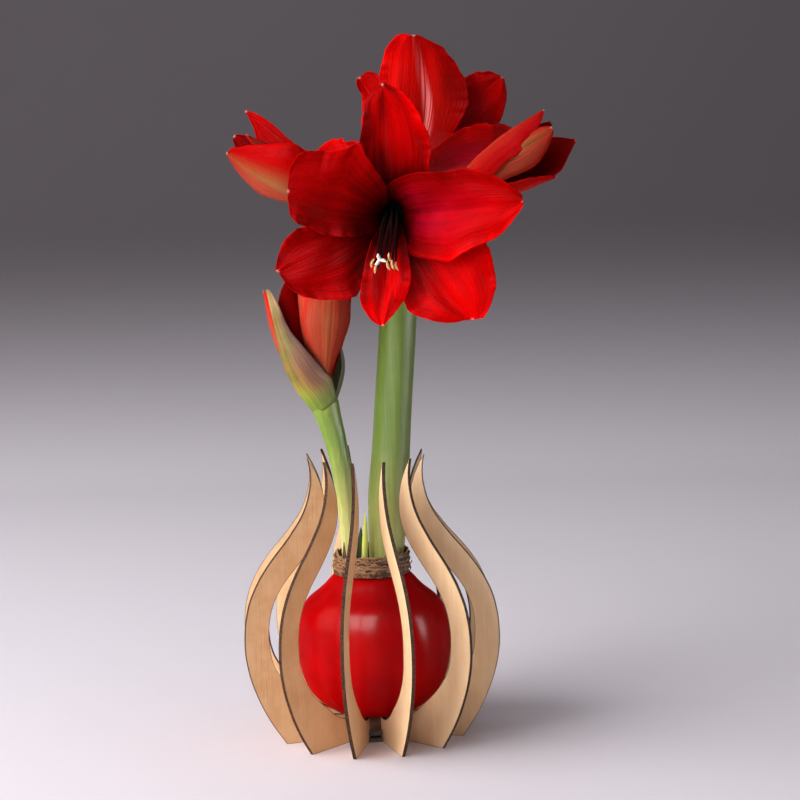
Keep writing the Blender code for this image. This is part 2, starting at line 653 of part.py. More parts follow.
def main():
    build_fins()
    build_disc("base_disc_lower", LOWER_DISC)
    build_disc("base_disc_upper", UPPER_DISC)
    build_bulb()
    build_neck()
    build_leaves()
    build_flower_stem()
    build_side_stem()
    build_bloom("bloom_front", FRONT_BASE, FRONT_AIM, FRONT_TEPALS, OPEN_GRID, (0.078, 0.014))
    build_bloom("bloom_rear", REAR_BASE, REAR_AIM, REAR_TEPALS, OPEN_GRID, (0.078, 0.012))
    build_bloom("bloom_left", LEFT_BASE, LEFT_AIM, LEFT_TEPALS, SHUT_GRID)
    build_bloom("bloom_right", RIGHT_BASE, RIGHT_AIM, RIGHT_TEPALS, SHUT_GRID)
    build_spathe()
    build_buds()


clear_scene()
PARTS = collection_named("waxed_amaryllis_bulb")
main()
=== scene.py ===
"""A waxed amaryllis bulb in bloom, in its stand of wooden fins: the finished pieces and their
materials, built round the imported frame. Metres, +Z up, the origin on the floor on the stand's
axis, and the open front bloom looks along -Y.
"""
import math
from collections import namedtuple

import bmesh
import bpy
import numpy as np
from mathutils import Matrix, Vector, noise


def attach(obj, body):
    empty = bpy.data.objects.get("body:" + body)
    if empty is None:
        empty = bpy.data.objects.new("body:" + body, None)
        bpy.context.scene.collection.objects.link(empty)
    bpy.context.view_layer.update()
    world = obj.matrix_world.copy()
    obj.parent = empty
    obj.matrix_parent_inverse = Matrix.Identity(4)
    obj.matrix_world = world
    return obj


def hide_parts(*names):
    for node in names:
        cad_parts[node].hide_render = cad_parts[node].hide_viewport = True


bl_info = {
    "name": "Waxed amaryllis bulb",
    "version": (1, 0, 0),
    "blender": (4, 5, 0),
    "location": "3D View > Sidebar > Amaryllis",
    "description": "Builds a waxed amaryllis bulb in bloom, in its stand of wooden fins",
    "category": "Object",
}

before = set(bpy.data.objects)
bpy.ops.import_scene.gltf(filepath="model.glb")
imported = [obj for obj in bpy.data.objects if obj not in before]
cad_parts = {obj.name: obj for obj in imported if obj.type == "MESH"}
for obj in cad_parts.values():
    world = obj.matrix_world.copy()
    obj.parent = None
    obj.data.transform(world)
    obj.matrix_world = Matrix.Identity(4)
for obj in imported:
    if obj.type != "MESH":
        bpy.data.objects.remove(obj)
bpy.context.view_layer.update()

GAP = 0.0003
UP = Vector((0.0, 0.0, 1.0))
FRONT = Vector((0.0, -1.0, 0.0))

# The stand
FIN_COUNT = 12
FIRST_FIN = math.radians(-11.5)     # turn of the first fin from the front, towards +X
BOARD_SEED = 31                     # gives each fin its own tone
DISC_RADIUS = 0.0215
SLOT_FLOOR = 0.0195
FIN_ROOT = 0.0174
SHELF = 0.0150
LOWER_DISC = 0.0
UPPER_DISC = 0.0044
# The fin's outer edge upwards, its tip, and its inner edge downwards, as (radius, height)
FIN_OUTER = [(0.0575, 0.0), (0.0675, 0.0158), (0.0752, 0.0325), (0.0803, 0.0500),
             (0.0818, 0.0670), (0.0793, 0.0870), (0.0745, 0.0995), (0.0675, 0.1110),
             (0.0490, 0.1335), (0.0412, 0.1455), (0.0370, 0.1580), (0.0360, 0.1695)]
FIN_TIP = (0.0374, 0.1790)
FIN_INNER = [(0.0331, 0.1710), (0.0293, 0.1610), (0.0277, 0.1500), (0.0288, 0.1395),
             (0.0330, 0.1300), (0.0405, 0.1195), (0.0575, 0.0993), (0.0622, 0.0910),
             (0.0657, 0.0790), (0.0663, 0.0650), (0.0642, 0.0520), (0.0595, 0.0430),
             (0.0525, 0.0345), (0.0436, 0.0265), (0.0346, 0.0192), (0.0270, 0.0158)]
SEAT_OUT = 0.0220
CHAR_WIDTH = 0.0006                 # how far the laser's scorch runs in from a cut edge

# The bulb in its wax, and its papery neck
BULB_AT = Vector((0.0019, 0.0, 0.0))
BULB_FOOT = SHELF + GAP
WAX_TOP = 0.1040
CORE_TOP = 0.1095
CORE_RADIUS = 0.0212
# The wax from its top edge down to its foot, as (radius, height)
BULB_PROFILE = [(0.0235, WAX_TOP), (0.0262, 0.1022), (0.0305, 0.0990), (0.0365, 0.0940),
                (0.0420, 0.0876), (0.0458, 0.0790), (0.0477, 0.0700), (0.0482, 0.0605),
                (0.0476, 0.0500), (0.0454, 0.0400), (0.0410, 0.0306), (0.0345, 0.0232),
                (0.0270, 0.0179), (0.0215, BULB_FOOT + 0.0006), (0.0185, BULB_FOOT)]
NECK_OUT = 0.0240
NECK_TOP = 0.1170
BULB_COLUMNS = 144
POLE_RADIUS = 0.0060                # where the skin of the bulb closes on its axis
WAX_RIM = [(0.0231, 0.1046), (0.0222, 0.1043), (0.0214, 0.1036)]
WAX_EDGE = 0.1050                   # only the wax below this height has a ragged edge
WAX_RAG = 0.0005
BULB_CORE = [(CORE_RADIUS - 0.0002, 0.1040), (CORE_RADIUS - 0.0002, 0.1080),
             (CORE_RADIUS - 0.0020, CORE_TOP), (POLE_RADIUS, CORE_TOP)]
# Where the shoulders are slimmer than the profile: height, spread and depth
SHOULDER = (0.0950, 0.0070, 0.0036)
RIGHT_SHOULDER = (0.0890, 0.0080, 0.0012)
RIGHT_WIDTH = 0.9                   # how far the right shoulder's slimness runs round, in radians
SKIN_ROWS = 7
SKIN_WALL = 0.00028
POINT_WALL = 0.0004
# The neck's skins: start and sweep in degrees, foot, height, radius at the foot, how far the top
# edge curls out, and how dark the skin is
NECK_SKINS = [(0, 360, 0.0000, 0.0042, 0.0240, 0.0006, 0.2),
              (20, 358, 0.0020, 0.0044, 0.0237, 0.0004, 0.1),
              (150, 330, 0.0042, 0.0038, 0.0236, 0.0007, 0.3),
              (300, 340, 0.0060, 0.0040, 0.0233, 0.0003, 0.15),
              (80, 300, 0.0078, 0.0036, 0.0232, 0.0006, 0.4),
              (200, 350, 0.0094, 0.0034, 0.0229, 0.0002, 0.2),
              (250, 120, 0.0030, 0.0030, 0.0243, 0.0009, 0.0),
              (190, 95, 0.0072, 0.0028, 0.0238, 0.0010, 0.1),
              (290, 110, 0.0088, 0.0030, 0.0236, 0.0006, 0.9),
              (10, 330, 0.0000, 0.0122, 0.0223, 0.0000, 1.0)]
# Torn points on the neck's edge: turn in degrees, height, half width, and how far they lean in
NECK_POINTS = [(-47, 0.0095, 0.0021, 0.10), (62, 0.0025, 0.0026, 0.2),
               (170, 0.0040, 0.0024, 0.2), (-70, 0.0016, 0.0020, 0.3)]

# Stems: route points and radii
STEM_FOOT = CORE_TOP + GAP
STEM_ROUTE = [(0.0110, 0.003, STEM_FOOT), (0.0134, 0.004, 0.149), (0.0162, 0.004, 0.181),
              (0.0190, 0.003, 0.215), (0.0222, 0.002, 0.250), (0.0245, 0.002, 0.282),
              (0.0250, 0.002, 0.306)]
STEM_RADII = [0.0107, 0.0126, 0.0119, 0.0116, 0.0115, 0.0114, 0.0118]
# The stem's round top: rise over the route's end, and share of its radius
STEM_CROWN = [(0.0016, 0.97), (0.0030, 0.86), (0.0040, 0.62), (0.0044, 0.3)]
RIB_HEIGHT = 0.00009
SIDE_ROUTE = [(-0.0118, -0.006, STEM_FOOT), (-0.0124, -0.008, 0.140),
              (-0.0140, -0.009, 0.166), (-0.0180, -0.010, 0.190), (-0.0212, -0.010, 0.2030),
              (-0.0236, -0.010, 0.2120)]
SIDE_RADII = [0.0043, 0.0050, 0.0061, 0.0068, 0.0078, 0.0090]
UMBEL = Vector((0.0250, 0.0, 0.3080))
STALK_RADIUS = 0.0036
OVARY_RADIUS = 0.0050
OVARY_LENGTH = 0.0130
# Leaf tips: name, finish, foot, top and half width
LEAF_TIPS = [("yellow", "yellow_leaf", (-0.0024, -0.0100, STEM_FOOT),
              (-0.0008, -0.0105, 0.1430), 0.0019),
             ("green", "dark_leaf", (-0.0058, -0.0020, STEM_FOOT),
              (-0.0040, -0.0020, 0.1330), 0.0018)]

# Blooms
ROOT_HEIGHT = 0.0015
TIP_HALF = 0.0006
LINE_STEPS = 108
OPEN_MESH = (84, 61)                # rows and columns of a tepal's mesh
SHUT_MESH = (60, 41)
BUD_MESH = (56, 33)
SHUT_RUFFLE = 0.0003
BUD_RUFFLE = 0.0002
BUD_WALL = 0.0007
FRONT_REACH = 0.078                 # how far the stamens stand out
REAR_REACH = 0.076
TUBE_FOOT = 0.0055
TUBE_LENGTH = 0.0120
# The tube's skin, as (height, share of its foot's radius), and the throat, as (height, radius)
TUBE_PROFILE = [(-0.0004, 0.72), (0.0, 0.95), (0.002, 1.02), (0.0042, 1.04), (0.0046, 0.8)]
THROAT_PROFILE = [(0.0036, 0.0050), (0.0080, 0.0060), (0.0110, 0.0066)]
THREAD_RING = 0.0028
# Where each anther hangs: rise, side and share of the stamens' reach; and where the stigma is
ANTHERS = [(-0.0155, 0.0004, 0.95), (-0.0180, 0.0102, 0.97), (-0.0215, 0.0084, 0.93),
           (-0.0195, 0.0012, 0.98), (-0.0205, -0.0034, 0.95), (-0.0190, -0.0014, 1.0)]
STIGMA = (-0.0150, 0.0052)
STYLE_RADII = [0.0011, 0.0009, 0.0008, 0.0007]
FILAMENT_RADII = [0.0009, 0.0008, 0.0006, 0.0004]
# Half length, half width and depth of the groove
ANTHER_SIZE = (0.0030, 0.00075, 0.35)
LOBE_SIZE = (0.0023, 0.0010, 0.0)
# A tepal's shape: its turn round the bloom, its root's distance from the axis, its length and half
# width; how far it leans at foot and tip, and between which shares of its length that changes; how
# far its section wraps round at foot and tip, and between which shares; how narrow its foot is and
# how sharp its tip; the height, number and start of its waves; how far its tip curls; where it is
# full width; how square its end is; how skew it is; its edge's own half widths; and its folds
Tepal = namedtuple("Tepal", "turn root length half lean tip_lean flare wrap tip_wrap unwrap claw "
                            "point wave waves phase curl crest square skew edge folds",
                   defaults=(0.58, 4.5, 0.0, (), ()))
OUTER_ROOT = 0.0056
INNER_ROOT = 0.0042
OPEN_OUTER = Tepal(0, OUTER_ROOT, 0.100, 0.026, 18, 73, (0.06, 0.60), 50, 4, (0.02, 0.40), 0.18,
                   0.60, 0.0022, 2.6, 0.0, 18)
OPEN_INNER = OPEN_OUTER._replace(root=INNER_ROOT, length=0.096, half=0.025, lean=13, tip_lean=68,
                                 flare=(0.12, 0.66), wrap=56, tip_wrap=18, unwrap=(0.15, 0.90),
                                 claw=0.15, waves=2.8, phase=1.0, curl=14)
SHUT_OUTER = Tepal(0, OUTER_ROOT, 0.080, 0.017, 20, 3, (0.10, 0.80), 56, 58, (0.05, 0.60), 0.18,
                   0.80, 0.0, 2.0, 0.0, 0)
SHUT_INNER = SHUT_OUTER._replace(root=INNER_ROOT, length=0.076, half=0.015, lean=16, wrap=56,
                                 tip_wrap=60, claw=0.15, point=0.75)
# What a tepal's surface shows: tone from 0, deep, to 1, bright, which is painted light and shade;
# how pink its midrib is; how much salmon its back has; how green that back's midrib is; how far the
# dark throat runs, partly its own dark red and partly painted shade; how the tone's painted light and
# shade changes from its first side to its other and from foot to tip; its painted magenta sheen; to
# which side the salmon keeps; and how far to one side the midrib starts
Look = namedtuple("Look", "tone rib salmon green throat sweep rise blush side rib_lean",
                  defaults=(0.30, 0.0, 0.0, 0.0, 0.0, 0.0))
# Edges are (share of the length, half width on each side in millimetres), and folds are (along,
# across, how long, how wide, how high in millimetres)
# In every look below, the tone with its sweep and rise is painted light and shade on that tepal, and a
# throat that reaches far paints the shade on a half-open bloom's inner faces
FRONT_TEPALS = [
    (OPEN_OUTER._replace(
        turn=1, length=0.0985, phase=0.6, curl=4,
        edge=((0, 4.3, 4.3), (0.15, 9.5, 9.5), (0.3, 18, 16), (0.4, 22.5, 18), (0.5, 24.5, 18),
              (0.6, 25, 16.5), (0.68, 24, 15.2), (0.76, 21.8, 13), (0.84, 18.5, 11.5),
              (0.9, 14.8, 9.8), (0.95, 9.5, 5.2), (0.98, 3.6, 2.2), (1, 0.5, 0.5)),
        folds=((0.50, 0.15, 0.16, 0.18, -2.2), (0.62, -0.55, 0.2, 0.25, 1.6),
               (0.70, 0.65, 0.12, 0.3, 1.2))),
     Look(0.24, 0.04, 0.1, 0.0, 0.46, -0.50, 0.35)),
    (OPEN_OUTER._replace(
        turn=112, length=0.0865, skew=-0.02, phase=2.0,
        edge=((0, 5.5, 5.5), (0.15, 10.5, 11), (0.3, 14, 18), (0.4, 16, 23), (0.5, 15.5, 27.5),
              (0.6, 15, 32), (0.68, 17, 31.2), (0.76, 18.3, 28.5), (0.84, 15.8, 25),
              (0.9, 11.5, 21.5), (0.95, 6.5, 17.5), (0.98, 3, 13), (1, 0.8, 7)),
        folds=((0.62, 0.35, 0.25, 0.22, 1.8), (0.74, -0.35, 0.16, 0.25, -1.6),
               (0.8, 0.75, 0.1, 0.2, -1.4))),
     Look(0.10, 0.0, 0.1, 0.0, 0.52, 0.08, 0.15)),
    (OPEN_OUTER._replace(
        turn=218, length=0.0895, skew=0.03, phase=1.2,
        edge=((0, 5.9, 5.9), (0.15, 10.5, 11), (0.3, 16, 18), (0.4, 18, 25), (0.5, 19, 31),
              (0.6, 23.5, 35), (0.68, 25.6, 34.4), (0.76, 24, 31.2), (0.84, 20, 27),
              (0.9, 15.6, 23), (0.95, 11, 16.5), (0.98, 7, 11.5), (1, 3, 6)),
        folds=((0.66, -0.15, 0.25, 0.18, -2.4), (0.72, 0.45, 0.2, 0.25, 1.8),
               (0.85, -0.5, 0.1, 0.2, 1.2))),
     Look(0.86, 0.0, 0.1, 0.0, 0.52, 0.30, 0.2)),
    (OPEN_INNER._replace(
        turn=70, length=0.0850, skew=-0.035, phase=2.7,
        edge=((0, 4, 4), (0.15, 8, 9), (0.3, 12.5, 12.5), (0.4, 23, 14.5), (0.5, 31, 15.5),
              (0.6, 38, 17.5), (0.66, 43, 18.5), (0.71, 38, 18.6), (0.77, 31.5, 18), (0.84, 29, 17),
              (0.9, 27.5, 15.8), (0.95, 25.5, 14), (0.98, 22, 11.5), (1, 14, 7)),
        folds=((0.56, 0.15, 0.22, 0.2, -2.0), (0.75, -0.4, 0.2, 0.2, 1.8),
               (0.62, -0.8, 0.1, 0.25, -2.0), (0.85, 0.5, 0.12, 0.25, 1.2))),
     Look(0.10, 0.0, 0.1, 0.0, 0.48, -0.16, 0.1)),
    (OPEN_INNER._replace(
        turn=174, length=0.082, phase=0.5,
        edge=((0, 3.5, 3.5), (0.15, 5.5, 5.5), (0.3, 8.2, 8.2), (0.4, 11, 11), (0.5, 13, 13),
              (0.6, 14.2, 14.3), (0.68, 14.8, 14.4), (0.76, 15, 12.8), (0.84, 14.4, 9.6),
              (0.9, 12, 6.4), (0.95, 8.6, 3.4), (0.98, 5.6, 1.4), (1, 2, 0.6)),
        folds=((0.6, 0.0, 0.2, 0.2, -1.6), (0.7, 0.5, 0.18, 0.2, 1.4), (0.72, -0.5, 0.18, 0.2, 1.4))),
     Look(0.50, 0.0, 0.1, 0.0, 0.50, 0.05, 1.0)),
    (OPEN_INNER._replace(
        turn=280, length=0.108, phase=3.0,
        edge=((0, 5, 5), (0.15, 12, 15), (0.3, 21, 25), (0.4, 25.5, 28.5), (0.5, 27.7, 29),
              (0.57, 28.4, 28), (0.62, 25.5, 26), (0.68, 22.3, 25.8), (0.76, 20, 24.5),
              (0.84, 17.3, 21.3), (0.9, 12.4, 17.5), (0.95, 7.4, 12), (0.98, 4.3, 7.5), (1, 1.8, 4)),
        folds=((0.46, 0.55, 0.09, 0.25, 2.6), (0.55, 0.1, 0.25, 0.2, -2.4),
               (0.66, -0.45, 0.25, 0.2, 1.8), (0.8, 0.3, 0.15, 0.3, 1.0))),
     Look(0.30, 0.0, 0.1, 0.0, 0.38, -0.40, 0.45, 0.4)),
]
REAR_TEPALS = [
    (OPEN_OUTER._replace(
        turn=8, length=0.1055, phase=0.3,
        edge=((0, 5.5, 5.5), (0.15, 12, 12), (0.3, 18.5, 20), (0.4, 23, 26), (0.5, 25, 31),
              (0.6, 24, 33.5), (0.68, 23, 32), (0.76, 22.6, 28.3), (0.84, 21, 23.8),
              (0.9, 17.8, 19.5), (0.95, 14.2, 14.2), (0.98, 11, 9), (1, 7, 3)),
        folds=((0.6, 0.25, 0.3, 0.14, 1.8), (0.6, -0.45, 0.3, 0.25, -1.8),
               (0.75, 0.6, 0.2, 0.2, -1.6))),
     Look(0.36, 0.95, 0.05, 0.1, 0.30, -0.42, 0.1, 0.0, 0.0, -0.55)),
    (OPEN_OUTER._replace(
        turn=98, length=0.0945,
        edge=((0, 5.5, 5.5), (0.15, 12, 11), (0.3, 21, 17), (0.4, 25, 22), (0.5, 28.5, 25),
              (0.6, 31.5, 25.5), (0.68, 31, 24.5), (0.76, 28, 22.5), (0.84, 21.5, 19),
              (0.9, 15.5, 15.5), (0.95, 9.5, 11), (0.98, 5.5, 7), (1, 0.8, 0.8)),
        folds=((0.6, -0.3, 0.3, 0.2, 1.8), (0.7, 0.3, 0.2, 0.2, -1.4))),
     Look(0.12, 0.12, 0.03, 0.0, 0.30, -0.1, 0.1, 0.45)),
    (OPEN_OUTER._replace(turn=260, length=0.094, half=0.0250, phase=-0.2),
     Look(0.70, 0.1, 0.04, 0.0)),
    (OPEN_INNER._replace(
        turn=53, length=0.1025, phase=1.2,
        edge=((0, 4.5, 4.5), (0.15, 9.5, 9.5), (0.3, 14, 16), (0.4, 16, 22), (0.5, 17, 27),
              (0.6, 17.2, 28.5), (0.68, 16.6, 26.2), (0.76, 16.3, 22.2), (0.84, 16, 18.3),
              (0.9, 14.8, 14), (0.95, 12, 8.5), (0.98, 8.8, 4), (1, 2, 1)),
        folds=((0.75, 0.0, 0.3, 0.2, 2.0), (0.8, -0.6, 0.15, 0.2, -1.8))),
     Look(0.30, 0.1, 0.03, 0.0, 0.30, 0.1, 0.1, 0.55)),
    (OPEN_INNER._replace(turn=180, length=0.090), Look(0.5, 0.1, 0.08, 0.0)),
    (OPEN_INNER._replace(
        turn=331, length=0.0865, phase=0.9,
        edge=((0, 4, 4), (0.15, 8, 7), (0.3, 13, 10), (0.4, 18, 11), (0.5, 24, 12), (0.6, 27, 12.5),
              (0.68, 24, 13), (0.76, 17, 13.5), (0.84, 9, 14.5), (0.9, 5.6, 12.8), (0.95, 3.7, 10.8),
              (0.98, 2.6, 9), (1, 1, 6)),
        folds=((0.8, 0.3, 0.2, 0.25, 1.4),)),
     Look(0.40, 0.15, 0.04, 0.0, 0.30, -0.2, 0.1, 0.5)),
]
LEFT_TEPALS = [
    (SHUT_OUTER._replace(
        turn=52, root=0.0050, length=0.0808, lean=33, tip_lean=25.3, flare=(0.2, 0.9), wrap=50,
        tip_wrap=30,
        edge=((0, 4.5, 4.5), (0.15, 7, 8), (0.3, 8, 12), (0.4, 8, 14.6), (0.5, 5.6, 14.8),
              (0.6, 4.6, 15.1), (0.7, 5.1, 15.1), (0.8, 5.6, 10.6), (0.88, 5.1, 5.1), (0.94, 3.1, 2.8),
              (0.98, 1.6, 0.9), (1, 0.6, 0.6)),
        folds=((0.6, 0.5, 0.4, 0.16, 1.0), (0.75, -0.7, 0.3, 0.3, -1.2))),
     Look(0.24, 0.1, 0.25, 0.0, 0.32, -0.15, 0.25)),
    (SHUT_OUTER._replace(turn=113, length=0.060, lean=9), Look(0.2, 0.1, 0.4, 0.2, 0.85)),
    (SHUT_OUTER._replace(
        turn=232, root=0.0064, length=0.0767, lean=16, tip_lean=-19.6, wrap=44, tip_wrap=50,
        edge=((0, 5, 5.5), (0.15, 8, 12), (0.3, 10, 20), (0.4, 11.5, 25), (0.5, 14, 31),
              (0.6, 16.5, 30), (0.7, 17, 24.5), (0.8, 15, 18), (0.88, 11.6, 13), (0.94, 7.4, 8),
              (0.98, 3.5, 5.2), (1, 0.6, 0.6)),
        folds=((0.5, 0.9, 0.4, 0.5, -3.5), (0.6, -0.4, 0.3, 0.2, 0.8))),
     Look(0.20, 0.1, 1.1, 0.9, 0.85, 0.30, 0.1, 0.0, -2.2)),
    (SHUT_INNER._replace(turn=60, length=0.0745, lean=8, tip_lean=17),
     Look(0.0, 0.1, 0.2, 0.0, 0.80)),
    (SHUT_INNER._replace(turn=181, length=0.056, lean=8), Look(0.1, 0.1, 0.2, 0.0, 0.85)),
    (SHUT_INNER._replace(
        turn=335, length=0.0685, lean=9, tip_lean=9,
        edge=((0, 4, 4), (0.3, 5, 9), (0.6, 6, 14), (0.8, 6, 15), (0.92, 5, 11), (1, 1.5, 3))),
     Look(0.5, 0.1, 1.2, 0.0, 0.80)),
]
RIGHT_TEPALS = [
    (SHUT_OUTER._replace(
        turn=25, length=0.0749, tip_lean=3.6,
        edge=((0, 5, 5), (0.15, 9, 11), (0.3, 9.5, 16.3), (0.5, 9.5, 16.3), (0.62, 9, 16.6),
              (0.7, 8, 15.5), (0.8, 6, 10.6), (0.88, 4.2, 8.3), (0.94, 2.4, 5.6), (0.98, 1, 2.2),
              (1, 0.6, 0.6)), folds=((0.6, 0.2, 0.4, 0.14, -1.0),)),
     Look(0.32, 0.05, 0.42, 0.0, 0.85, 0.10, -0.2, 0.0, -1.9)),
    (SHUT_OUTER._replace(
        turn=68, root=INNER_ROOT, length=0.0736, lean=15, tip_lean=6,
        edge=((0, 4.5, 4.5), (0.15, 8, 8.5), (0.3, 9.5, 10.5), (0.4, 11, 12), (0.5, 12.6, 13),
              (0.6, 12.5, 14.6), (0.7, 11.5, 15.1), (0.8, 9.6, 13.1), (0.88, 7.3, 9.6),
              (0.94, 4.8, 6.1), (0.98, 2.4, 3.6), (1, 0.8, 1.2)),
        folds=((0.6, -0.1, 0.4, 0.14, -1.0),)), Look(0.1, 0.0, 1.3, 1.1, 0.85, 0.0, 0.1)),
    (SHUT_OUTER._replace(
        turn=234, length=0.0822, tip_lean=-8.1, tip_wrap=40,
        edge=((0, 5, 5), (0.15, 10, 11), (0.3, 12, 18), (0.4, 12.5, 17.5), (0.5, 13.5, 16.6),
              (0.6, 15.5, 15.6), (0.7, 19.5, 15.1), (0.8, 21.8, 13.4), (0.88, 14.5, 9.2),
              (0.94, 7.3, 5.1), (0.98, 2.8, 1.8), (1, 0.6, 0.6))),
     Look(-0.1, 0.0, 0.4, 0.3, 0.62, 0.0, 0.1)),
    (SHUT_INNER._replace(turn=311, length=0.0733, tip_lean=2.6), Look(0.0, 0.1, 0.3, 0.1, 0.85)),
    (SHUT_OUTER._replace(turn=172, root=INNER_ROOT, length=0.0628, half=0.013, lean=27, tip_lean=6),
     Look(0.5, 0.1, 0.12, 0.0, 0.95)),
    (SHUT_INNER._replace(turn=48, length=0.056, half=0.012), Look(0.1, 0.1, 0.2, 0.0, 0.9)),
]
BLOOM_SEATS = {
    "front": (Vector((0.0225, -0.0370, 0.3310)), Vector((-0.04, -0.985, -0.10))),
    "rear": (Vector((0.0290, 0.0300, 0.3350)), Vector((0.24, 0.78, 0.58))),
    "left": (Vector((-0.0090, -0.0040, 0.3370)), Vector((-0.89, -0.14, 0.42))),
    "right": (Vector((0.0590, -0.0030, 0.3370)), Vector((0.87, -0.10, 0.46))),
}

# The spathe and its buds
SPATHE_AIM = Vector((-0.30, 0.0, 0.95))
SPATHE_BASE = Vector(SIDE_ROUTE[-1]) + SPATHE_AIM.normalized() * 0.0007
SPATHE_FOOT = 0.0091
SPATHE_DROP = 0.0048                # how far under its base the valves start
SPATHE_WALL = 0.0007
# The cup that holds the valves, as (height, share of the foot's radius)
CUP_PROFILE = [(-0.0050, 0.84), (-0.0020, 0.94), (0.0, 0.97), (0.003, 0.99), (0.006, 1.0),
               (0.0074, 0.98), (0.0080, 0.85)]
VALVES = [
    (Tepal(314, 0.0079, 0.0832, 0.0185, 20, -5.2, (0.1, 0.55), 95, 60, (0.05, 0.5), 0.80, 1.1,
           0.0, 2.0, 0.0, 0,
           edge=((0, 13, 17), (0.08, 14, 21), (0.16, 15, 23), (0.24, 15, 21), (0.32, 14, 19.6),
                 (0.4, 13, 17.6), (0.48, 12.5, 15), (0.56, 11.5, 12), (0.64, 10, 8.6), (0.72, 8, 6.6),
                 (0.8, 6, 5.6), (0.88, 3.8, 4.6), (0.94, 2.2, 3.4), (0.98, 1, 2), (1, 0.4, 0.5)),
           folds=((0.5, 0.35, 0.4, 0.14, -0.9), (0.45, -0.25, 0.4, 0.14, -0.7),
                  (0.75, 0.1, 0.3, 0.2, -1.0))), Look(0.0, 0.0, 0.0, 0.0)),
    (Tepal(112, 0.0058, 0.0560, 0.0110, 40, -12, (0.1, 0.9), 60, 46, (0.05, 0.6), 0.60, 1.0,
           0.0, 2.0, 0.0, 0), Look(1.0, 0.0, 0.0, 0.0)),
]
BUD_BASE = Vector((-0.0246, -0.0105, 0.2227))
BUD_AIM = Vector((0.058, 0.0, 1.0))
SMALL_BUD_BASE = Vector((-0.0278, -0.0056, 0.2210))
SMALL_BUD_AIM = Vector((-0.395, 0.13, 0.91))
BUD_SHARE = 0.76
SMALL_BUD_SHARE = 0.64
BUD_TEPALS = [
    (SHUT_OUTER._replace(turn=12, length=0.0805, half=0.0185, lean=16, tip_lean=6,
                         folds=((0.5, 0.3, 0.4, 0.16, -0.9),)),
     Look(0.35, 0.0, 1.0, 0.40, 0.3, -0.30, 0.1, 0.0, -0.40)),
    (SHUT_OUTER._replace(turn=137, half=0.0170, lean=15, tip_lean=6), Look(0.3, 0.0, 0.6, 0.3)),
    (SHUT_OUTER._replace(turn=292, root=INNER_ROOT, length=0.0805, half=0.0175, lean=17, tip_lean=4,
                         folds=((0.5, 0.4, 0.4, 0.2, -1.2),)),
     Look(0.7, 0.0, 0.95, 0.0, 0.3, 0.1, 0.0)),
    (SHUT_INNER._replace(turn=73, length=0.0765, lean=13, tip_lean=6), Look(0.4, 0.0, 0.3, 0.0)),
    (SHUT_INNER._replace(turn=195, length=0.0765, lean=13, tip_lean=6), Look(0.3, 0.0, 0.3, 0.0)),
    (SHUT_INNER._replace(turn=335, length=0.075, lean=13, tip_lean=6), Look(0.2, 0.0, 0.5, 0.0)),
]
SMALL_BUD_TEPALS = [
    (SHUT_OUTER._replace(turn=280, length=0.0690, half=0.0125, lean=15, tip_lean=-14.1),
     Look(0.6, 0.0, 1.1, 0.0)),
    (SHUT_OUTER._replace(turn=35, length=0.0682, half=0.0145, lean=12, tip_lean=17.7),
     Look(-0.25, 0.0, 0.0, 0.0)),
    (SHUT_OUTER._replace(turn=160, length=0.062, half=0.0115, lean=12), Look(0.0, 0.0, 0.3, 0.0)),
]
BUDS = [(BUD_BASE, BUD_AIM, BUD_TEPALS, BUD_SHARE),
        (SMALL_BUD_BASE, SMALL_BUD_AIM, SMALL_BUD_TEPALS, SMALL_BUD_SHARE)]

# The camera, fitted to the photograph
CAMERA_LENS = 100.9
CAMERA_AT = Vector((0.02286, -1.37778, 0.39885))
CAMERA_PITCH = math.radians(7.7278)
CAMERA_ROLL = math.radians(-1.8154)

# The studio's floor, and its lights: name, place, what the light points at, size, and power in
# watts, which is a setting for the key light
FLOOR_REACH = 4.0
SWEEP = 0.9                         # radius of the bend between floor and backdrop
KEY_LIGHT = ("key", (-1.25, -0.42, 0.95), (0.0, 0.0, 0.20), (1.8, 1.6))
# Lights that only show as a shine
SHINES = [("window", (-0.34, -0.88, 0.80), (0.0, 0.0, 0.06), (0.75, 0.85), 84.0),
          ("strip", (1.20, -0.35, 0.40), (0.0, 0.0, 0.06), (0.35, 0.6), 30.0)]
# Lights that don't show as a shine
FILLS = [("front fill", (-1.15, -1.05, 0.52), (0.0, 0.0, 0.22), (1.4, 0.9), 14.0),
         ("side fill", (1.5, -1.2, 0.8), (0.0, 0.0, 0.22), (1.2, 1.2), 0.8),
         ("top", (0.1, 0.3, 1.7), (0.0, 0.0, 0.22), (1.0, 0.8), 4.0)]


# Node trees

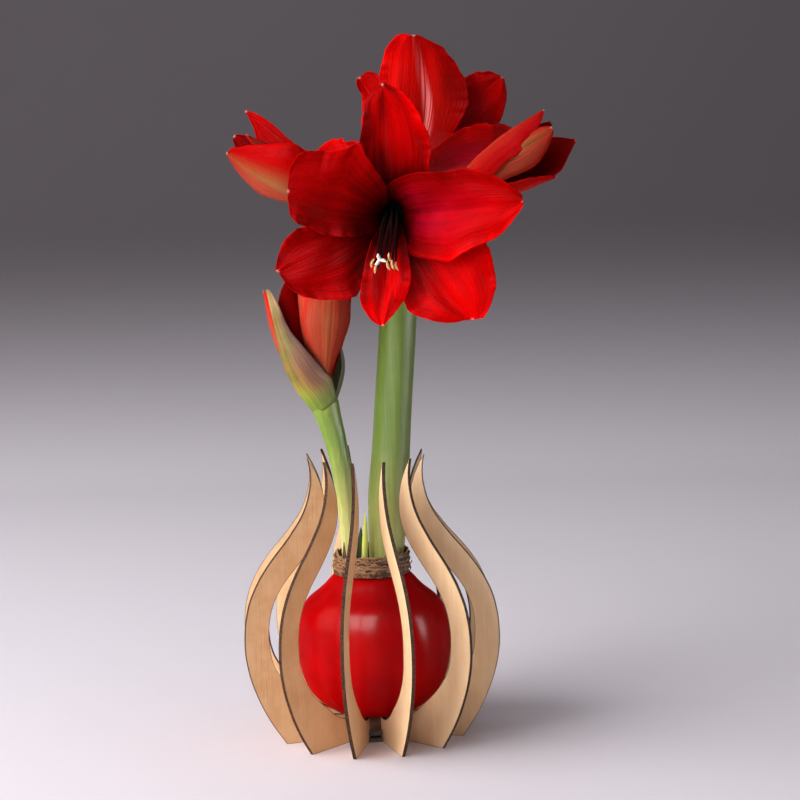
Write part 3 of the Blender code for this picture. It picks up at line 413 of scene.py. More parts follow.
class Tree:
    """Adds nodes to a material's or a group's tree and joins them up."""

    def __init__(self, tree):
        self.tree = tree

    def add(self, kind, inputs=None, **settings):
        """A node with its settings, and its inputs given as values or as other nodes' outputs."""
        node = self.tree.nodes.new(kind)
        for name, value in settings.items():
            setattr(node, name, value)
        for key, value in (inputs or {}).items():
            if isinstance(value, bpy.types.NodeSocket):
                self.tree.links.new(value, node.inputs[key])
            else:
                node.inputs[key].default_value = value
        return node

    def math(self, operation, *values):
        return self.add("ShaderNodeMath", dict(enumerate(values)), operation=operation).outputs[0]

    def times(self, first, *others):
        """All the values multiplied."""
        for other in others:
            first = self.math("MULTIPLY", first, other)
        return first

    def plus(self, first, *others):
        """All the values added."""
        for other in others:
            first = self.math("ADD", first, other)
        return first

    def mix(self, share, first, second):
        """Two colours mixed by a share."""
        node = self.add("ShaderNodeMix", {0: share, 6: first, 7: second}, data_type="RGBA")
        return node.outputs[2]

    def between(self, value, start, end, low=0.0, high=1.0):
        """A value carried smoothly from one range to another."""
        node = self.add("ShaderNodeMapRange", {0: value, 1: start, 2: end, 3: low, 4: high},
                        interpolation_type="SMOOTHSTEP")
        return node.outputs[0]

    def spread(self, value, low, high):
        """A value from 0 to 1, carried smoothly to one from low to high."""
        return self.between(value, 0.0, 1.0, low, high)

    def noise(self, vector, scale, detail=3.0, roughness=0.55):
        node = self.add("ShaderNodeTexNoise", {"Vector": vector, "Scale": scale, "Detail": detail,
                                               "Roughness": roughness})
        return node.outputs[0]

    def attribute(self, name):
        return self.add("ShaderNodeAttribute", attribute_name=name).outputs["Fac"]


def colour(red, green, blue):
    """A screen colour from 0 to 255, as Blender's linear one."""
    return tuple((value / 255.0) ** 2.2 for value in (red, green, blue)) + (1.0,)


def group(name, sockets_in, sockets_out):
    """A new shader node group with its inputs' and outputs' ends."""
    tree = bpy.data.node_groups.new(name, "ShaderNodeTree")
    kinds = {"value": "NodeSocketFloat", "vector": "NodeSocketVector"}
    for label, kind, default in sockets_in:
        socket = tree.interface.new_socket(label, in_out="INPUT", socket_type=kinds[kind])
        if default is not None:
            socket.default_value = default
    for label, kind in sockets_out:
        tree.interface.new_socket(label, in_out="OUTPUT", socket_type=kinds[kind])
    made = Tree(tree)
    start = tree.nodes.new("NodeGroupInput")
    end = tree.nodes.new("NodeGroupOutput")
    return made, start.outputs, end


def streak_group():
    """Fine lengthwise lines and broader streaks, as in a petal, a stem or a dry skin."""
    tree, given, end = group("Lengthwise streaks", [
        ("Vector", "vector", None), ("Lines", "value", 60.0), ("Length", "value", 2.0)],
        [("Lines", "value"), ("Streaks", "value")])
    parts = tree.add("ShaderNodeSeparateXYZ", {0: given["Vector"]})
    across = tree.times(parts.outputs[0], given["Lines"])
    depth = tree.times(parts.outputs[1], given["Lines"])
    along = tree.times(parts.outputs[2], given["Length"])
    place = tree.add("ShaderNodeCombineXYZ", {0: across, 1: depth, 2: along}).outputs[0]
    fine = tree.noise(place, 1.0, 2.0, 0.5)
    broad = tree.noise(place, 0.22, 3.0, 0.6)
    tree.tree.links.new(tree.between(fine, 0.3, 0.7), end.inputs[0])
    tree.tree.links.new(tree.between(broad, 0.3, 0.7), end.inputs[1])
    return tree.tree


def mottle_group():
    """Soft uneven patches, for the small changes of colour and gloss in any grown or worn skin."""
    tree, given, end = group("Soft mottle", [
        ("Vector", "vector", None), ("Scale", "value", 60.0), ("Low", "value", 0.35),
        ("High", "value", 0.65)], [("Patches", "value"), ("Specks", "value")])
    patches = tree.noise(given["Vector"], given["Scale"], 4.0, 0.55)
    specks = tree.noise(given["Vector"], tree.times(given["Scale"], 9.0), 2.0, 0.5)
    tree.tree.links.new(tree.between(patches, given["Low"], given["High"]), end.inputs[0])
    tree.tree.links.new(tree.between(specks, 0.35, 0.65), end.inputs[1])
    return tree.tree


class Finish(Tree):
    """One material: its tree, its shader and the shared effects it uses."""

    def __init__(self, name, **settings):
        self.material = bpy.data.materials.new(name)
        self.material.use_nodes = True
        super().__init__(self.material.node_tree)
        self.shader = self.tree.nodes["Principled BSDF"]
        for key, value in settings.items():
            self.shader.inputs[key.replace("_", " ")].default_value = value
        self.place = self.add("ShaderNodeTexCoord").outputs["Object"]

    def shared(self, tree, **inputs):
        """A shared effect's outputs, with this material's own values."""
        return self.add("ShaderNodeGroup", inputs, node_tree=tree).outputs

    def set(self, **sockets):
        """Joins outputs to the shader's sockets."""
        for key, value in sockets.items():
            self.tree.links.new(value, self.shader.inputs[key.replace("_", " ")])

    def bump(self, height, distance, strength=1.0):
        node = self.add("ShaderNodeBump", {"Strength": strength, "Distance": distance,
                                           "Height": height})
        self.set(Normal=node.outputs[0])


# Stems: name, colours of the pale and the deep streaks, colour of the foot, and the heights
# between which the foot's colour fades out
STEM_FINISHES = {
    "stem": ("green stem", (118, 138, 54), (90, 113, 38), (176, 176, 92), 0.11, 0.20),
    "side": ("pale stem", (132, 152, 60), (82, 118, 34), (210, 208, 126), 0.125, 0.190),
    "stalk": ("bloom stalk", (96, 130, 48), (60, 92, 30), (96, 130, 48), 0.30, 0.31),
}
# Leaf tips: name, and the pale and the deep colour
LEAF_FINISHES = {
    "yellow_leaf": ("yellow leaf tip", (216, 218, 78), (176, 186, 52)),
    "dark_leaf": ("dark leaf tip", (66, 88, 30), (40, 58, 20)),
}
# Threads and their tips: name, the pale and the deep colour, roughness and shine
THREAD_FINISHES = {
    # The filaments' dark red is deepened with painted shade of the throat, and the throat floor is a
    # near-black plug of painted shade
    "thread": ("filament", (50, 0, 5), (18, 0, 2), 1.0, 0.02),
    "throat": ("throat floor", (20, 1, 3), (10, 0, 2), 0.9, 0.02),
    "anther": ("anther", (226, 196, 128), (184, 128, 62), 0.7, 0.25),
    "stigma": ("stigma", (250, 240, 232), (222, 196, 186), 0.45, 0.25),
}


def make_materials(scene):
    """Every material, keyed by its name."""
    effects = (streak_group(), mottle_group())
    made = {"wood": board_finish(*effects, scene.amaryllis_stand.wood),
            "disc": disc_finish(*effects),
            "wax": wax_finish(*effects, scene.amaryllis_bulb.wax),
            "skin": skin_finish(*effects)}
    for key, recipe in STEM_FINISHES.items():
        made[key] = stem_finish(*effects, *recipe)
    for key, recipe in LEAF_FINISHES.items():
        made[key] = leaf_finish(*effects, *recipe)
    made["petal"] = TepalFinish(*effects, scene.amaryllis_bloom).material
    made["spathe"] = spathe_finish(*effects)
    for key, recipe in THREAD_FINISHES.items():
        made[key] = thread_finish(effects[1], *recipe)
    return made


def board_finish(streaks, mottle, tint):
    """Thin wooden board, scorched where the laser cut it."""
    wood = Finish("birch board", Specular_IOR_Level=0.18)
    grain = wood.shared(streaks, Vector=wood.place, Lines=700.0, Length=45.0)
    soft = wood.shared(mottle, Vector=wood.place, Scale=90.0)
    face = wood.mix(wood.times(grain["Streaks"], 0.40), (*tint, 1.0), colour(214, 170, 126))
    face = wood.mix(wood.attribute("board"), face, colour(198, 153, 108))
    face = wood.mix(wood.times(soft["Patches"], 0.22), face, colour(240, 206, 164))
    face = wood.mix(wood.times(grain["Lines"], 0.07), face, colour(168, 122, 84))
    char = wood.attribute("char")
    edge = wood.mix(soft["Specks"], colour(38, 23, 14), colour(84, 52, 30))
    wood.set(Base_Color=wood.mix(char, face, edge),
             Roughness=wood.math("MAXIMUM", char, wood.spread(soft["Patches"], 0.52, 0.68)))
    wood.bump(grain["Lines"], 0.00012, 0.5)
    return wood.material


def disc_finish(streaks, mottle):
    """The board of the two discs, darker with painted shade where the bulb shades them."""
    wood = Finish("shaded board", Specular_IOR_Level=0.3)
    grain = wood.shared(streaks, Vector=wood.place, Lines=500.0, Length=300.0)
    soft = wood.shared(mottle, Vector=wood.place, Scale=120.0)
    # Painted shade: the faces and scorched edges are darker than the fins' board because the bulb
    # shades them
    face = wood.mix(grain["Streaks"], colour(150, 108, 74), colour(120, 82, 56))
    edge = wood.mix(soft["Specks"], colour(30, 18, 12), colour(64, 40, 26))
    wood.set(Base_Color=wood.mix(wood.attribute("char"), face, edge),
             Roughness=wood.spread(soft["Patches"], 0.6, 0.75))
    wood.bump(grain["Lines"], 0.0001, 0.5)
    return wood.material


def wax_finish(streaks, mottle, tint):
    """Red wax with darker patches, and faint ribs of the bulb under it."""
    wax = Finish("red wax", Coat_Weight=0.11, Coat_Roughness=0.28, Specular_IOR_Level=0.0,
                 Subsurface_Weight=0.12, Subsurface_Scale=0.004,
                 Subsurface_Radius=(1.0, 0.08, 0.05))
    soft = wax.shared(mottle, Vector=wax.place, Scale=38.0, Low=0.3, High=0.7)
    ribs = wax.shared(streaks, Vector=wax.place, Lines=110.0, Length=10.0)
    red = wax.mix(wax.times(soft["Patches"], 0.6), (*tint, 1.0), colour(128, 2, 14))
    red = wax.mix(wax.times(ribs["Streaks"], 0.14), red, colour(150, 0, 12))
    wax.set(Base_Color=red, Roughness=wax.spread(soft["Specks"], 0.22, 0.34))
    wax.bump(wax.plus(wax.times(soft["Patches"], 0.8), wax.times(ribs["Streaks"], 0.15)),
             0.0006, 0.7)
    return wax.material


def skin_finish(streaks, mottle):
    """The dry papery skins of the neck, paler at their torn rims."""
    skin = Finish("dry scale", Specular_IOR_Level=0.2)
    lines = skin.shared(streaks, Vector=skin.place, Lines=900.0, Length=500.0)
    soft = skin.shared(mottle, Vector=skin.place, Scale=260.0, Low=0.4, High=0.6)
    brown = skin.mix(soft["Patches"], colour(66, 36, 20), colour(146, 94, 56))
    brown = skin.mix(skin.times(skin.attribute("dark"), 0.85), brown, colour(20, 13, 10))
    brown = skin.mix(skin.times(skin.attribute("rim"), 0.8), brown, colour(190, 142, 98))
    brown = skin.mix(skin.times(lines["Lines"], 0.4), brown, colour(44, 26, 16))
    skin.set(Base_Color=brown, Roughness=skin.spread(soft["Specks"], 0.62, 0.85))
    skin.bump(lines["Lines"], 0.0002, 0.7)
    return skin.material


def stem_finish(streaks, mottle, name, pale, deep, foot, foot_low, foot_high):
    """A fleshy green stem with its own colour at the foot."""
    stem = Finish(name, Specular_IOR_Level=0.24, Subsurface_Weight=0.10, Subsurface_Scale=0.003,
                  Subsurface_Radius=(0.6, 1.0, 0.2))
    lines = stem.shared(streaks, Vector=stem.place, Lines=900.0, Length=14.0)
    soft = stem.shared(mottle, Vector=stem.place, Scale=70.0)
    height = stem.add("ShaderNodeSeparateXYZ", {0: stem.place}).outputs[2]
    low = stem.between(height, foot_low, foot_high, 1.0, 0.0)
    green = stem.mix(stem.times(lines["Streaks"], 0.7), colour(*pale), colour(*deep))
    green = stem.mix(stem.times(soft["Patches"], 0.3), green, colour(*deep))
    green = stem.mix(low, green, colour(*foot))
    green = stem.mix(stem.times(lines["Lines"], 0.18), green, colour(62, 92, 34))
    stem.set(Base_Color=green, Roughness=stem.spread(soft["Specks"], 0.38, 0.52))
    stem.bump(lines["Streaks"], 0.00025, 0.6)
    return stem.material


def leaf_finish(streaks, mottle, name, pale, deep):
    """A young leaf tip with fine lengthwise lines."""
    leaf = Finish(name, Specular_IOR_Level=0.4)
    lines = leaf.shared(streaks, Vector=leaf.place, Lines=1500.0, Length=30.0)
    soft = leaf.shared(mottle, Vector=leaf.place, Scale=200.0)
    leaf.set(Base_Color=leaf.mix(lines["Streaks"], colour(*pale), colour(*deep)),
             Roughness=leaf.spread(soft["Specks"], 0.4, 0.6))
    leaf.bump(lines["Lines"], 0.00015, 0.6)
    return leaf.material


def thread_finish(mottle, name, pale, deep, rough, shine):
    """Filaments, anthers, stigma and the throat's floor."""
    tip = Finish(name, Specular_IOR_Level=shine)
    soft = tip.shared(mottle, Vector=tip.place, Scale=900.0, Low=0.4, High=0.6)
    tip.set(Base_Color=tip.mix(soft["Patches"], colour(*pale), colour(*deep)),
            Roughness=tip.spread(soft["Specks"], rough - 0.08, rough + 0.08))
    tip.bump(soft["Specks"], 0.0001, 0.5)
    return tip.material


class TepalFinish(Finish):
    """The red tepals: deep throat of dark red and painted shade, blade with painted light and shade,
    veins, pale tips, painted sheen, and salmon backs.
    """

    def __init__(self, streaks, mottle, tints):
        super().__init__("red tepal", Specular_IOR_Level=0.03,
                         Specular_Tint=colour(255, 120, 130), Subsurface_Weight=0.10,
                         Subsurface_Scale=0.0025, Subsurface_Radius=(1.0, 0.10, 0.06))
        self.tints = {key: (*getattr(tints, key), 1.0)
                      for key in ("bright", "deep", "throat", "rib", "salmon", "sheen")}
        flat = self.add("ShaderNodeUVMap", uv_map="petal").outputs[0]
        parts = self.add("ShaderNodeSeparateXYZ", {0: flat}).outputs
        self.along = parts[1]
        self.across = self.math("SUBTRACT", self.times(parts[0], 2.0), 1.0)
        self.middle = self.math("ABSOLUTE", self.across)
        self.back = self.attribute("back")
        depth = self.times(self.attribute("seed"), 3.0)
        place = self.add("ShaderNodeCombineXYZ", {0: parts[0], 1: depth, 2: self.along})
        self.lines = self.shared(streaks, Vector=place.outputs[0], Lines=70.0, Length=2.2)
        self.veins = self.shared(streaks, Vector=place.outputs[0], Lines=110.0, Length=1.2)
        self.soft = self.shared(mottle, Vector=self.place, Scale=55.0)
        red = self.with_tip(self.with_back(self.with_midrib(self.with_throat(self.blade()))))
        self.set(Base_Color=red, Roughness=self.spread(self.soft["Specks"], 0.36, 0.52))
        self.bump(self.plus(self.times(self.lines["Lines"], 0.7),
                            self.times(self.soft["Specks"], 0.15),
                            self.times(self.lines["Streaks"], 0.7)), 0.00030, 0.7)

    def blade(self):
        """From deep to bright red by the tone, which is painted light and shade, brighter along the
        edges, with fine deep lines.
        """
        glow = self.plus(self.times(self.attribute("tone"), 0.85),
                         self.times(self.lines["Streaks"], 0.12),
                         self.times(self.soft["Patches"], 0.10),
                         self.between(self.middle, 0.86, 1.0, 0.0, 0.14))
        red = self.mix(glow, self.tints["deep"], self.tints["bright"])
        return self.mix(self.times(self.lines["Lines"], 0.10), red, self.tints["deep"])

    def with_throat(self, red):
        """Dark throat inside, feathered, dark red and painted shade; past it a painted magenta sheen.
        """
        reach = self.math("SUBTRACT", self.along, self.attribute("throat"))
        reach = self.plus(reach, self.times(self.lines["Streaks"], 0.07))
        inside = self.math("SUBTRACT", 1.0, self.back)
        dusk = self.times(self.between(reach, -0.05, 0.28, 0.62, 0.0), inside)
        red = self.mix(dusk, red, colour(70, 0, 6))
        deep = self.times(self.between(reach, -0.16, 0.10, 1.0, 0.0), inside)
        red = self.mix(deep, red, self.tints["throat"])
        # The magenta sheen past the throat is a painted sheen
        sheen = self.times(self.between(self.soft["Patches"], 0.1, 0.9, 0.25, 0.6),
                           self.between(self.middle, 0.9, 0.2),
                           self.between(self.along, 0.92, 0.5),
                           self.attribute("blush"), self.math("SUBTRACT", 1.0, deep))
        return self.mix(sheen, red, self.tints["sheen"])

    def with_midrib(self, red):
        """The midrib's pink lines, which start to one side and come to the middle at the tip."""
        drift = self.times(self.attribute("rib_lean"), self.math("SUBTRACT", 1.0, self.along))
        off = self.math("ABSOLUTE", self.plus(self.across, drift))
        rib = self.times(self.between(off, 0.02, 0.15, 1.0, 0.0),
                         self.between(self.along, 1.0, 0.55, 0.15, 1.0),
                         self.between(self.veins["Lines"], 0.25, 0.95, 0.05, 1.0),
                         self.attribute("rib"))
        return self.mix(rib, red, self.tints["rib"])

    def with_back(self, red):
        """The paler back, with a greenish midrib and foot."""
        salmon = self.mix(self.times(self.lines["Lines"], 0.35), self.tints["salmon"],
                          colour(160, 40, 30))
        salmon = self.mix(self.times(self.soft["Patches"], 0.35), salmon, colour(160, 52, 34))
        strip = self.times(self.between(self.middle, 0.0, 0.34, 1.0, 0.0),
                           self.attribute("green"), self.spread(self.lines["Streaks"], 0.55, 1.0))
        salmon = self.mix(strip, salmon, colour(140, 104, 58))
        pale = self.times(self.attribute("salmon"),
                          self.between(self.middle, 1.0, 0.5, 0.3, 1.0),
                          self.between(self.along, 1.0, 0.45, 0.3, 1.0), self.back)
        red = self.mix(pale, red, salmon)
        foot = self.times(self.between(self.along, 0.12, 0.02), self.back, 0.6)
        return self.mix(foot, red, colour(120, 112, 56))

    def with_tip(self, red):
        """The pale point at the very tip."""
        tip = self.times(self.attribute("tip"), self.spread(self.soft["Specks"], 0.6, 1.0), 0.7)
        return self.mix(tip, red, colour(236, 180, 172))


def spathe_finish(streaks, mottle):
    """The papery valves: green foot, olive body, brown to one side, and a cream tip."""
    valve = Finish("papery spathe", Specular_IOR_Level=0.18, Subsurface_Weight=0.08,
                   Subsurface_Scale=0.002)
    flat = valve.add("ShaderNodeUVMap", uv_map="petal").outputs[0]
    parts = valve.add("ShaderNodeSeparateXYZ", {0: flat}).outputs
    side, along = parts[0], parts[1]
    tone = valve.attribute("tone")
    place = valve.add("ShaderNodeCombineXYZ", {0: side, 1: tone, 2: along}).outputs[0]
    lines = valve.shared(streaks, Vector=place, Lines=46.0, Length=1.8)
    soft = valve.shared(mottle, Vector=valve.place, Scale=120.0)

    # The olive body and its greener foot
    body = valve.mix(lines["Streaks"], colour(124, 124, 46), colour(92, 84, 30))
    body = valve.mix(valve.times(soft["Patches"], 0.45), body, colour(176, 118, 66))
    body = valve.mix(valve.between(along, 0.10, 0.34, 1.0, 0.0), body, colour(168, 166, 58))
    body = valve.mix(valve.between(along, 0.05, 0.25, 1.0, 0.0), body, colour(118, 144, 52))

    # Tan and brown towards one side, dark rims, and red brown towards the other side
    blush = valve.times(valve.between(side, 0.54, 0.76),
                        valve.between(along, 0.06, 0.24, 0.1, 0.85),
                        valve.between(along, 0.62, 0.42))
    tan = valve.mix(lines["Lines"], colour(166, 104, 74), colour(116, 66, 56))
    body = valve.mix(blush, body, tan)
    dusk = valve.times(valve.between(side, 0.74, 0.92), valve.between(along, 0.20, 0.36, 0.0, 0.9))
    body = valve.mix(dusk, body, colour(112, 70, 52))
    rims = valve.math("MAXIMUM", valve.between(side, 0.05, 0.0), valve.between(side, 0.95, 1.0))
    body = valve.mix(valve.times(rims, 0.8), body, colour(44, 20, 16))
    red = valve.times(valve.between(side, 0.30, 0.02), valve.between(along, 0.25, 0.45, 0.0, 0.8))
    body = valve.mix(red, body, colour(84, 36, 28))

    # The cream tip, the small valve's green, and fine brown lines over all
    cream = valve.times(valve.between(along, 0.76, 0.90),
                        valve.between(lines["Streaks"], 0.2, 0.8, 0.5, 1.0))
    body = valve.mix(cream, body, colour(210, 174, 114))
    body = valve.mix(valve.times(tone, 0.85), body, colour(66, 84, 36))
    body = valve.mix(valve.times(lines["Lines"], 0.35), body, colour(96, 58, 32))
    valve.set(Base_Color=body, Roughness=valve.spread(soft["Specks"], 0.45, 0.65))
    valve.bump(valve.plus(lines["Lines"], lines["Streaks"]), 0.0003, 0.8)
    return valve.material


# Meshes

def quads(a, b, c, d):
    """Four-cornered faces from four grids of point numbers."""
    return np.stack((a, b, c, d), -1).reshape(-1, 4)


class Shell:
    """Gathers thin curved sheets, each closed with its own thickness, into one mesh."""

    def __init__(self):
        self.points, self.faces, self.uvs, self.values = [], [], [], {}
        self.count = 0

    def add(self, sheet, thickness, along=None, **values):
        """One sheet: a grid of points (rows, columns, 3) given its thickness about the middle."""
        rows, columns = sheet.shape[:2]
        along = np.linspace(0, 1, rows) if along is None else along
        lengthwise = np.gradient(sheet, axis=0)
        crosswise = np.gradient(sheet, axis=1)
        normal = np.cross(lengthwise, crosswise)
        normal /= np.maximum(np.linalg.norm(normal, axis=2, keepdims=True), 1e-12)
        half = normal * (thickness / 2)[..., None]
        layers = np.stack((sheet + half, sheet - half)).reshape(-1, 3)
        top, low = np.arange(2 * rows * columns).reshape(2, rows, columns) + self.count
        self.faces += [quads(top[:-1, :-1], top[1:, :-1], top[1:, 1:], top[:-1, 1:]),
                       quads(low[:-1, :-1], low[:-1, 1:], low[1:, 1:], low[1:, :-1]),
                       quads(top[:-1, 0], low[:-1, 0], low[1:, 0], top[1:, 0]),
                       quads(top[:-1, -1], top[1:, -1], low[1:, -1], low[:-1, -1]),
                       quads(top[0, :-1], top[0, 1:], low[0, 1:], low[0, :-1]),
                       quads(top[-1, :-1], low[-1, :-1], low[-1, 1:], top[-1, 1:])]
        self.points.append(layers)
        across, along = np.meshgrid(np.linspace(0, 1, columns), along)
        self.uvs.append(np.tile(np.stack((across, along), -1).reshape(-1, 2), (2, 1)))
        values["back"] = np.repeat((0.0, 1.0), rows * columns)
        for name, value in values.items():
            flat = np.asarray(value, float).reshape(-1)
            both = np.tile(flat, 2) if np.ndim(value) == 2 else np.broadcast_to(flat, len(layers))
            self.values.setdefault(name, []).append(both)
        self.count += len(layers)

    def object(self, name, material):
        """The finished mesh object with its UV map and attributes."""
        points = np.concatenate(self.points)
        faces = np.concatenate(self.faces)
        mesh = bpy.data.meshes.new(name)
        mesh.from_pydata(points.tolist(), [], faces.tolist())
        uvs = np.concatenate(self.uvs)
        loops = np.empty(len(mesh.loops), np.int32)
        mesh.loops.foreach_get("vertex_index", loops)
        layer = mesh.uv_layers.new(name="petal")
        layer.data.foreach_set("uv", uvs[loops].astype(np.float32).reshape(-1))
        for key, lists in self.values.items():
            attribute = mesh.attributes.new(key, "FLOAT", "POINT")
            attribute.data.foreach_set("value", np.concatenate(lists).astype(np.float32))
        mesh.update()
        return add_object(name, mesh, material)


def add_object(name, mesh, material):
    """A new smooth-shaded object with one material."""
    item = bpy.data.objects.new(name, mesh)
    bpy.context.scene.collection.objects.link(item)
    mesh.materials.append(material)
    mesh.shade_smooth()
    return item


def finished(item, slot, *nodes):
    """Hands a piece to the frame: it rides on the one body and stands for its CAD nodes."""
    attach(item, "root")
    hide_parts(*nodes)


def plain(item):
    """Swaps an object with live modifiers for one with the plain mesh that they make."""
    bpy.context.view_layer.update()
    graph = bpy.context.evaluated_depsgraph_get()
    mesh = bpy.data.meshes.new_from_object(item.evaluated_get(graph))
    name = item.name
    bpy.data.objects.remove(item, do_unlink=True)
    made = bpy.data.objects.new(name, mesh)
    mesh.name = name
    bpy.context.scene.collection.objects.link(made)
    return made


def smoothstep(start, end, value):
    """Rises from 0 to 1 between start and end."""
    share = np.clip((value - start) / (end - start), 0.0, 1.0)
    return share * share * (3.0 - 2.0 * share)


def smooth_route(points, steps):
    """Points along a smooth curve through the given ones, steps to a stretch."""
    ends = [2 * points[0] - points[1], *points, 2 * points[-1] - points[-2]]
    line = []
    for before, start, end, after in zip(ends, ends[1:], ends[2:], ends[3:]):
        for step in range(steps):
            t = step / steps
            line.append(0.5 * (2 * start + (end - before) * t
                               + (2 * before - 5 * start + 4 * end - after) * t * t
                               + (3 * start - before - 3 * end + after) * t ** 3))
    line.append(points[-1])
    return line


# Stems: a Geometry Nodes tree runs a round section along each route

def stem_tree():
    """Makes closed round stems of the edges it is given, as thick as their "thick" attribute."""
    tree = bpy.data.node_groups.new("Round stems", "GeometryNodeTree")
    face = tree.interface
    face.new_socket("Routes", in_out="INPUT", socket_type="NodeSocketGeometry")
    sides = face.new_socket("Sides", in_out="INPUT", socket_type="NodeSocketInt")
    sides.default_value = 32
    face.new_socket("Finish", in_out="INPUT", socket_type="NodeSocketMaterial")
    face.new_socket("Stems", in_out="OUTPUT", socket_type="NodeSocketGeometry")
    made = Tree(tree)
    given = tree.nodes.new("NodeGroupInput").outputs
    curve = made.add("GeometryNodeMeshToCurve", {0: given["Routes"]}).outputs[0]
    ring = made.add("GeometryNodeCurvePrimitiveCircle", {"Resolution": given["Sides"],
                                                         "Radius": 1.0}).outputs[0]
    thick = made.add("GeometryNodeInputNamedAttribute", {"Name": "thick"}, data_type="FLOAT")
    swept = made.add("GeometryNodeCurveToMesh", {0: curve, 1: ring, "Scale": thick.outputs[0],
                                                 "Fill Caps": True}).outputs[0]
    soft = made.add("GeometryNodeSetShadeSmooth", {0: swept}).outputs[0]
    real = made.add("GeometryNodeRealizeInstances", {0: soft}).outputs[0]
    dressed = made.add("GeometryNodeSetMaterial", {0: real, "Material": given["Finish"]})
    made.add("NodeGroupOutput", {0: dressed.outputs[0]})
    return tree


def set_inputs(modifier, **values):
    """Sets a Geometry Nodes modifier's inputs by their sockets' identifiers."""
    for socket in modifier.node_group.interface.items_tree:
        if socket.in_out == "INPUT" and socket.name.replace(" ", "_") in values:
            modifier[socket.identifier] = values[socket.name.replace(" ", "_")]


def stems(name, routes, material, sides=32):
    """Round stems along routes, each a list of (x, y, z, radius) vectors, as one plain mesh."""
    places, edges, thick = [], [], []
    for line in routes:
        first = len(places)
        places += [tuple(point[:3]) for point in line]
        thick += [point[3] for point in line]
        edges += [(first + i, first + i + 1) for i in range(len(line) - 1)]
    mesh = bpy.data.meshes.new(name)
    mesh.from_pydata(places, edges, [])
    mesh.attributes.new("thick", "FLOAT", "POINT").data.foreach_set("value", thick)
    item = bpy.data.objects.new(name, mesh)
    bpy.context.scene.collection.objects.link(item)
    sweep = item.modifiers.new("sweep", "NODES")
    sweep.node_group = bpy.data.node_groups.get("Round stems") or stem_tree()
    set_inputs(sweep, Sides=sides, Finish=material)
    return plain(item)


def route(points, radii, steps):
    """A smooth route with its radii, as (x, y, z, radius) vectors."""
    return smooth_route([Vector((*point, radius)) for point, radius in zip(points, radii)], steps)


# Stand

def cut_line(corners, smooth_steps):
    """The closed outline of a board through points with True where the edge runs smooth."""
    curve = bpy.data.curves.new("outline", "CURVE")
    curve.dimensions = "2D"
    curve.fill_mode = "NONE"
    curve.resolution_u = smooth_steps
    spline = curve.splines.new("BEZIER")
    spline.bezier_points.add(len(corners) - 1)
    spline.use_cyclic_u = True
    for point, (x, y, smooth) in zip(spline.bezier_points, corners):
        point.co = (x, y, 0.0)
        point.handle_left_type = "AUTO" if smooth else "VECTOR"
        point.handle_right_type = point.handle_left_type
    item = bpy.data.objects.new("outline", curve)
    bpy.context.scene.collection.objects.link(item)
    item = plain(item)
    line = [vertex.co.xy.to_tuple() for vertex in item.data.vertices]
    mesh = item.data
    bpy.data.objects.remove(item, do_unlink=True)
    bpy.data.meshes.remove(mesh)
    apart = []
    for spot in line:
        if not apart or math.dist(spot, apart[-1]) > 1e-6:
            apart.append(spot)
    if math.dist(apart[0], apart[-1]) < 1e-6:
        apart.pop()
    return apart


def board_mesh(name, line, thickness):
    """A board cut to an outline, lying flat about z = 0, with its scorched edge as "char"."""
    shape = bmesh.new()
    char = shape.verts.layers.float.new("char")
    low = [shape.verts.new((x, y, -thickness / 2)) for x, y in line]
    high = [shape.verts.new((x, y, thickness / 2)) for x, y in line]
    for vertex in shape.verts:
        vertex[char] = 1.0
    faces = [shape.faces.new(high), shape.faces.new(list(reversed(low)))]
    count = len(line)
    for i in range(count):
        j = (i + 1) % count
        shape.faces.new((low[i], low[j], high[j], high[i]))
    shape.normal_update()
    if faces[0].normal.z < 0:
        bmesh.ops.reverse_faces(shape, faces=shape.faces)
    bmesh.ops.inset_region(shape, faces=faces, thickness=CHAR_WIDTH, depth=0.0,
                           use_even_offset=False)
    for face in faces:
        for vertex in face.verts:
            vertex[char] = 0.0
    bmesh.ops.triangulate(shape, faces=faces)
    mesh = bpy.data.meshes.new(name)
    shape.to_mesh(mesh)
    shape.free()
    return mesh


def fin_outline():
    """The fin's edge: outer side, tip, inner side, seat and the notches for both discs."""
    thickness = bpy.context.scene.amaryllis_stand.board
    root, floor = FIN_ROOT, SLOT_FLOOR + GAP / 2
    line = [(r, z, index > 0) for index, (r, z) in enumerate(FIN_OUTER)]
    line.append((*FIN_TIP, False))
    line += [(r, z, True) for r, z in FIN_INNER]
    line += [(SEAT_OUT, SHELF, False), (root, SHELF, False)]
    for low in (UPPER_DISC, LOWER_DISC):
        top = low + thickness + GAP
        line += [(root, top, False), (floor, top, False)]
        if low > 0:
            line += [(floor, low - GAP, False), (root, low - GAP, False)]
    line.append((floor, 0.0, False))
    return line


